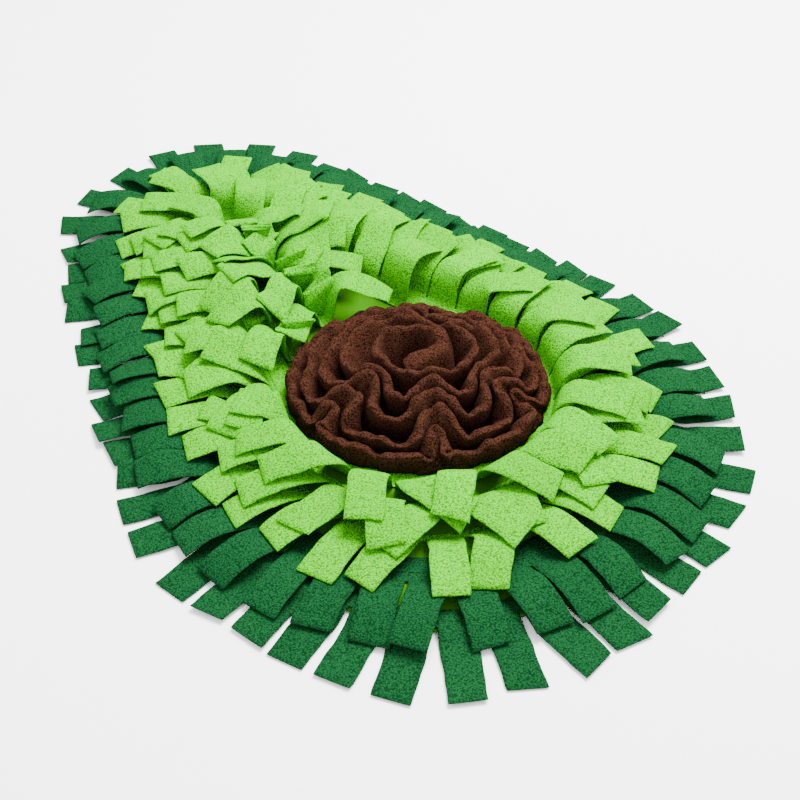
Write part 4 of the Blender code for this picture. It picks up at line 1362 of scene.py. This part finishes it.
class FleeceLooks(bpy.types.PropertyGroup):
    light: bpy.props.FloatVectorProperty(
        name="Light green", description="Dye of the inner rows' fleece",
        default=linear("#3b9402"), **COLOUR,
    )
    dark: bpy.props.FloatVectorProperty(
        name="Dark green", description="Dye of the outer rows' fleece",
        default=linear("#0f371b"), **COLOUR,
    )
    brown: bpy.props.FloatVectorProperty(
        name="Brown", description="Dye of the rosette's fleece",
        default=linear("#2f1a12"), **COLOUR,
    )
    # Painted shade: the base felt's dye is darker than the felt's own yellow-green, so that where it
    # shows between the strips it looks shaded.
    base: bpy.props.FloatVectorProperty(
        name="Base felt", description="Dye of the base panel",
        default=linear("#2c6206"), **COLOUR,
    )
    nap_size: bpy.props.FloatProperty(
        name="Nap size", description="Distance between the pebbles of the fleece's nap",
        unit="LENGTH", min=0.0005, max=0.01, default=0.0012,
    )
    nap_depth: bpy.props.FloatProperty(
        name="Nap depth", description="How deep the nap's pebbles are", unit="LENGTH",
        min=0.0, max=0.005, default=0.0007,
    )
    # Speckle: painted highlight on the nap's pebbles and painted shade in the hollows between them.
    speckle: bpy.props.FloatProperty(
        name="Speckle", description="How much paler the nap is than the hollows between it",
        subtype="FACTOR", min=0.0, max=1.0, default=0.58,
    )
    mottling: bpy.props.FloatProperty(
        name="Mottling", description="How much the dye varies over a few centimetres",
        subtype="FACTOR", min=0.0, max=1.0, default=0.06,
    )
    strip_shades: bpy.props.FloatProperty(
        name="Strip shades", description="How much one strip's dye differs from the next one's",
        subtype="FACTOR", min=0.0, max=1.0, default=0.03,
    )
    sheen: bpy.props.FloatProperty(
        name="Sheen", description="How pale the nap looks along the surface", subtype="FACTOR",
        min=0.0, max=1.0, default=0.003,
    )


class SeamLooks(bpy.types.PropertyGroup):
    stitch: bpy.props.FloatProperty(
        name="Stitch", description="Length of one stitch", unit="LENGTH",
        min=0.001, max=0.02, default=0.0036,
    )
    gap: bpy.props.FloatProperty(
        name="Gap", description="Between two stitches", unit="LENGTH",
        min=0.0, max=0.02, default=0.0012,
    )
    thread: bpy.props.FloatProperty(
        name="Thread", description="Thickness of the thread", unit="LENGTH",
        min=0.0001, max=0.003, default=0.0007,
    )


class StageLooks(bpy.types.PropertyGroup):
    floor_size: bpy.props.FloatProperty(
        name="Floor", description="Length of the floor's sides", unit="LENGTH",
        min=1.0, max=40.0, default=12.0,
    )
    floor: bpy.props.FloatVectorProperty(
        name="Floor colour", description="Colour of the paper under the mat",
        default=linear("#f8f8f8"), **COLOUR,
    )
    sky: bpy.props.FloatProperty(
        name="Soft light", description="Strength of the light from all round", min=0.0, default=2.6,
    )
    key: bpy.props.FloatProperty(
        name="Main light", description="Power of the big soft lamp", unit="POWER",
        min=0.0, default=150.0,
    )


# Operators


class SNUFFLE_OT_base_panel(bpy.types.Operator):
    """Cuts the felt base panel"""

    bl_idname = "snuffle.base_panel"
    bl_label = "Base panel"

    def execute(self, context):
        # The felt is dyed darker than its own yellow-green: painted shade where it shows between the
        # strips.
        felt = needle_felt("needle_felt_yellow_green", context.scene.snuffle_fleece.base)
        points, faces = base_mesh()
        piece = mesh_object("base_felt", points, faces, felt)
        hand_over(piece, "base_cloth", "base_panel")
        plan = row_loop(BASE_LOOP)[0]
        return {"FINISHED"}


class SNUFFLE_OT_fringe(bpy.types.Operator):
    """Cuts the rows of fringe and lays their strips on one another"""

    bl_idname = "snuffle.fringe"
    bl_label = "Fringe"

    def execute(self, context):
        looks = context.scene.snuffle_fleece
        fleece = {
            "dark": polar_fleece("polar_fleece_dark_green", looks.dark, looks),
            "light": polar_fleece("polar_fleece_light_green", looks.light, looks),
        }
        piles = Pile(), FinePile()
        loops = [row_loop(row.loop) for row in ROWS]
        for pile in piles:
            pile.cover_inside(row_loop(BASE_LOOP), BAND_LOW)
            for row, loop in zip(ROWS, loops):
                places = np.arange(0.0, loop[1][-1], CELL / 2)
                cover_band(pile, [loop_at(loop, place) for place in places], row)
        for row, loop in zip(ROWS, loops):
            roots = loop_roots(loop, row)
            cloth = row_cloth(row, roots, lay_row(row, roots, *piles), True)
            self.sew_row(row, cloth, fleece, loop[1][-1])
        ribbon = rosette_sections()
        for pile in piles:
            cover_rosette(pile, ribbon)
        loop = neck_loop()
        roots = loop_roots(loop, NECK_ROW, NECK_OPEN)
        cloth = row_cloth(NECK_ROW, roots, lay_row(NECK_ROW, roots, *piles), False)
        self.sew_row(NECK_ROW, cloth, fleece, loop[1][-1] * (1.0 - NECK_OPEN))
        roots = centre_roots(CENTRE_ROW)
        cloth = centre_cloth(CENTRE_ROW, lay_row(CENTRE_ROW, roots, *piles))
        draw = random.Random(HEAP_ROW.seed)
        for strip in lay_row(HEAP_ROW, heap_roots(), *piles).values():
            shade = draw.gauss(0.0, 1.0)
            cloth.quad_rows([cloth.add(line, shade) for line in strip])
        self.sew_row(CENTRE_ROW, cloth, fleece, 2 * (CENTRE_BAND_Y[1] - CENTRE_BAND_Y[0]))
        return {"FINISHED"}

    def sew_row(self, row, cloth, fleece, length):
        piece = cloth.finish(row.name + "_cloth", fleece[row.dye])
        hand_over(piece, row.dye + "_fleece", row.name)


class SNUFFLE_OT_rosette(bpy.types.Operator):
    """Gathers the brown ribbon and winds it into the rosette"""

    bl_idname = "snuffle.rosette"
    bl_label = "Rosette"

    def execute(self, context):
        looks = context.scene.snuffle_fleece
        fleece = polar_fleece("polar_fleece_brown", looks.brown, looks, BROWN_PAINTED_NAP_SHADING)
        points, faces, length, height = ribbon_mesh()
        ribbon = mesh_object("rosette_ribbon", points, faces, fleece)
        hand_over(ribbon, "brown_fleece", "rosette")
        points, faces = backing_mesh()
        backing = mesh_object("rosette_backing", points, faces, fleece)
        hand_over(backing, "brown_fleece")
        return {"FINISHED"}


class SNUFFLE_OT_seams(bpy.types.Operator):
    """Sews the bands and the ribbon down"""

    bl_idname = "snuffle.seams"
    bl_label = "Seams"

    def execute(self, context):
        looks = context.scene.snuffle_fleece
        seams = context.scene.snuffle_seams
        tree = stitch_nodes()
        high = BAND_TOP + SEAM_RISE
        lines = {"dark": [], "light": [], "brown": []}
        for row in (*ROWS, NECK_ROW):
            lines[row.dye].append((seam_lines(row), row.loop is not None, high))
        middle = np.arange(*CENTRE_BAND_Y, SEAM_LINE_STEP)
        lines["light"].append((np.stack([middle * 0.0, middle], 1), False, high))
        foot, _ = ribbon_foot()
        low = BAND_LOW + BACKING + SEAM_RISE
        lines["brown"].append((drawn_in(foot), False, low))
        colours = {"dark": looks.dark, "light": looks.light, "brown": looks.brown}
        for dye, found in lines.items():
            thread = spun_thread("spun_thread_" + dye, colours[dye])
            piece = seam_object(dye + "_seams", found)
            sew(piece, tree, seams, thread)
            hand_over(piece, dye + "_fleece")
        return {"FINISHED"}


class SNUFFLE_OT_stage(bpy.types.Operator):
    """Sets the floor, the light and the camera"""

    bl_idname = "snuffle.stage"
    bl_label = "Stage"

    def execute(self, context):
        looks = context.scene.snuffle_stage
        half = looks.floor_size / 2
        sides = ((-half, -half), (half, -half), (half, half), (-half, half))
        corners = [(*side, FLOOR_AT) for side in sides]
        floor = mesh_object("floor", corners, [(0, 1, 2, 3)], matt_paper("matt_paper", looks.floor))
        world = bpy.data.worlds.new("soft_light")
        world.use_nodes = True
        sky = world.node_tree.nodes["Background"].inputs
        sky["Color"].default_value = (1.0, 1.0, 1.0, 1.0)
        sky["Strength"].default_value = looks.sky
        context.scene.world = world
        lamp = bpy.data.lights.new("main_light", "AREA")
        lamp.shape = "DISK"
        lamp.size = KEY_SIZE
        lamp.energy = looks.key
        self.aim(context, bpy.data.objects.new("main_light", lamp), KEY_AT, (0.0, 0.0, 0.0))
        camera = bpy.data.cameras.new("camera")
        camera.lens = LENS
        camera.sensor_width = SENSOR
        camera.clip_end = CLIP_END
        seen = bpy.data.objects.new("camera", camera)
        self.aim(context, seen, CAMERA_AT, CAMERA_AIM)
        context.scene.camera = seen
        return {"FINISHED"}

    def aim(self, context, thing, place, target):
        thing.location = place
        away = Vector(target) - Vector(place)
        thing.rotation_euler = away.to_track_quat("-Z", "Y").to_euler()
        context.scene.collection.objects.link(thing)


class SNUFFLE_PT_mat(bpy.types.Panel):
    """Sizes and colours of the mat, and the steps that make it"""

    bl_idname = "SNUFFLE_PT_mat"
    bl_label = "Snuffle mat"
    bl_space_type = "VIEW_3D"
    bl_region_type = "UI"
    bl_category = "Snuffle mat"

    def draw(self, context):
        scene = context.scene
        for title, looks in (
            ("Fleece", scene.snuffle_fleece), ("Seams", scene.snuffle_seams),
            ("Stage", scene.snuffle_stage),
        ):
            box = self.layout.box()
            box.label(text=title)
            for name in looks.__annotations__:
                box.prop(looks, name)
        for step in STEPS:
            self.layout.operator(step.bl_idname)


STEPS = (
    SNUFFLE_OT_base_panel, SNUFFLE_OT_fringe, SNUFFLE_OT_rosette, SNUFFLE_OT_seams,
    SNUFFLE_OT_stage,
)
LOOKS = (FleeceLooks, SeamLooks, StageLooks)


def register():
    for kind in (*LOOKS, *STEPS, SNUFFLE_PT_mat):
        bpy.utils.register_class(kind)
    bpy.types.Scene.snuffle_fleece = bpy.props.PointerProperty(type=FleeceLooks)
    bpy.types.Scene.snuffle_seams = bpy.props.PointerProperty(type=SeamLooks)
    bpy.types.Scene.snuffle_stage = bpy.props.PointerProperty(type=StageLooks)


def unregister():
    del bpy.types.Scene.snuffle_stage
    del bpy.types.Scene.snuffle_seams
    del bpy.types.Scene.snuffle_fleece
    for kind in reversed((*LOOKS, *STEPS, SNUFFLE_PT_mat)):
        bpy.utils.unregister_class(kind)


def main():
    register()
    bpy.ops.snuffle.base_panel()
    bpy.ops.snuffle.fringe()
    bpy.ops.snuffle.rosette()
    bpy.ops.snuffle.seams()
    bpy.ops.snuffle.stage()


if __name__ == "__main__":
    main()
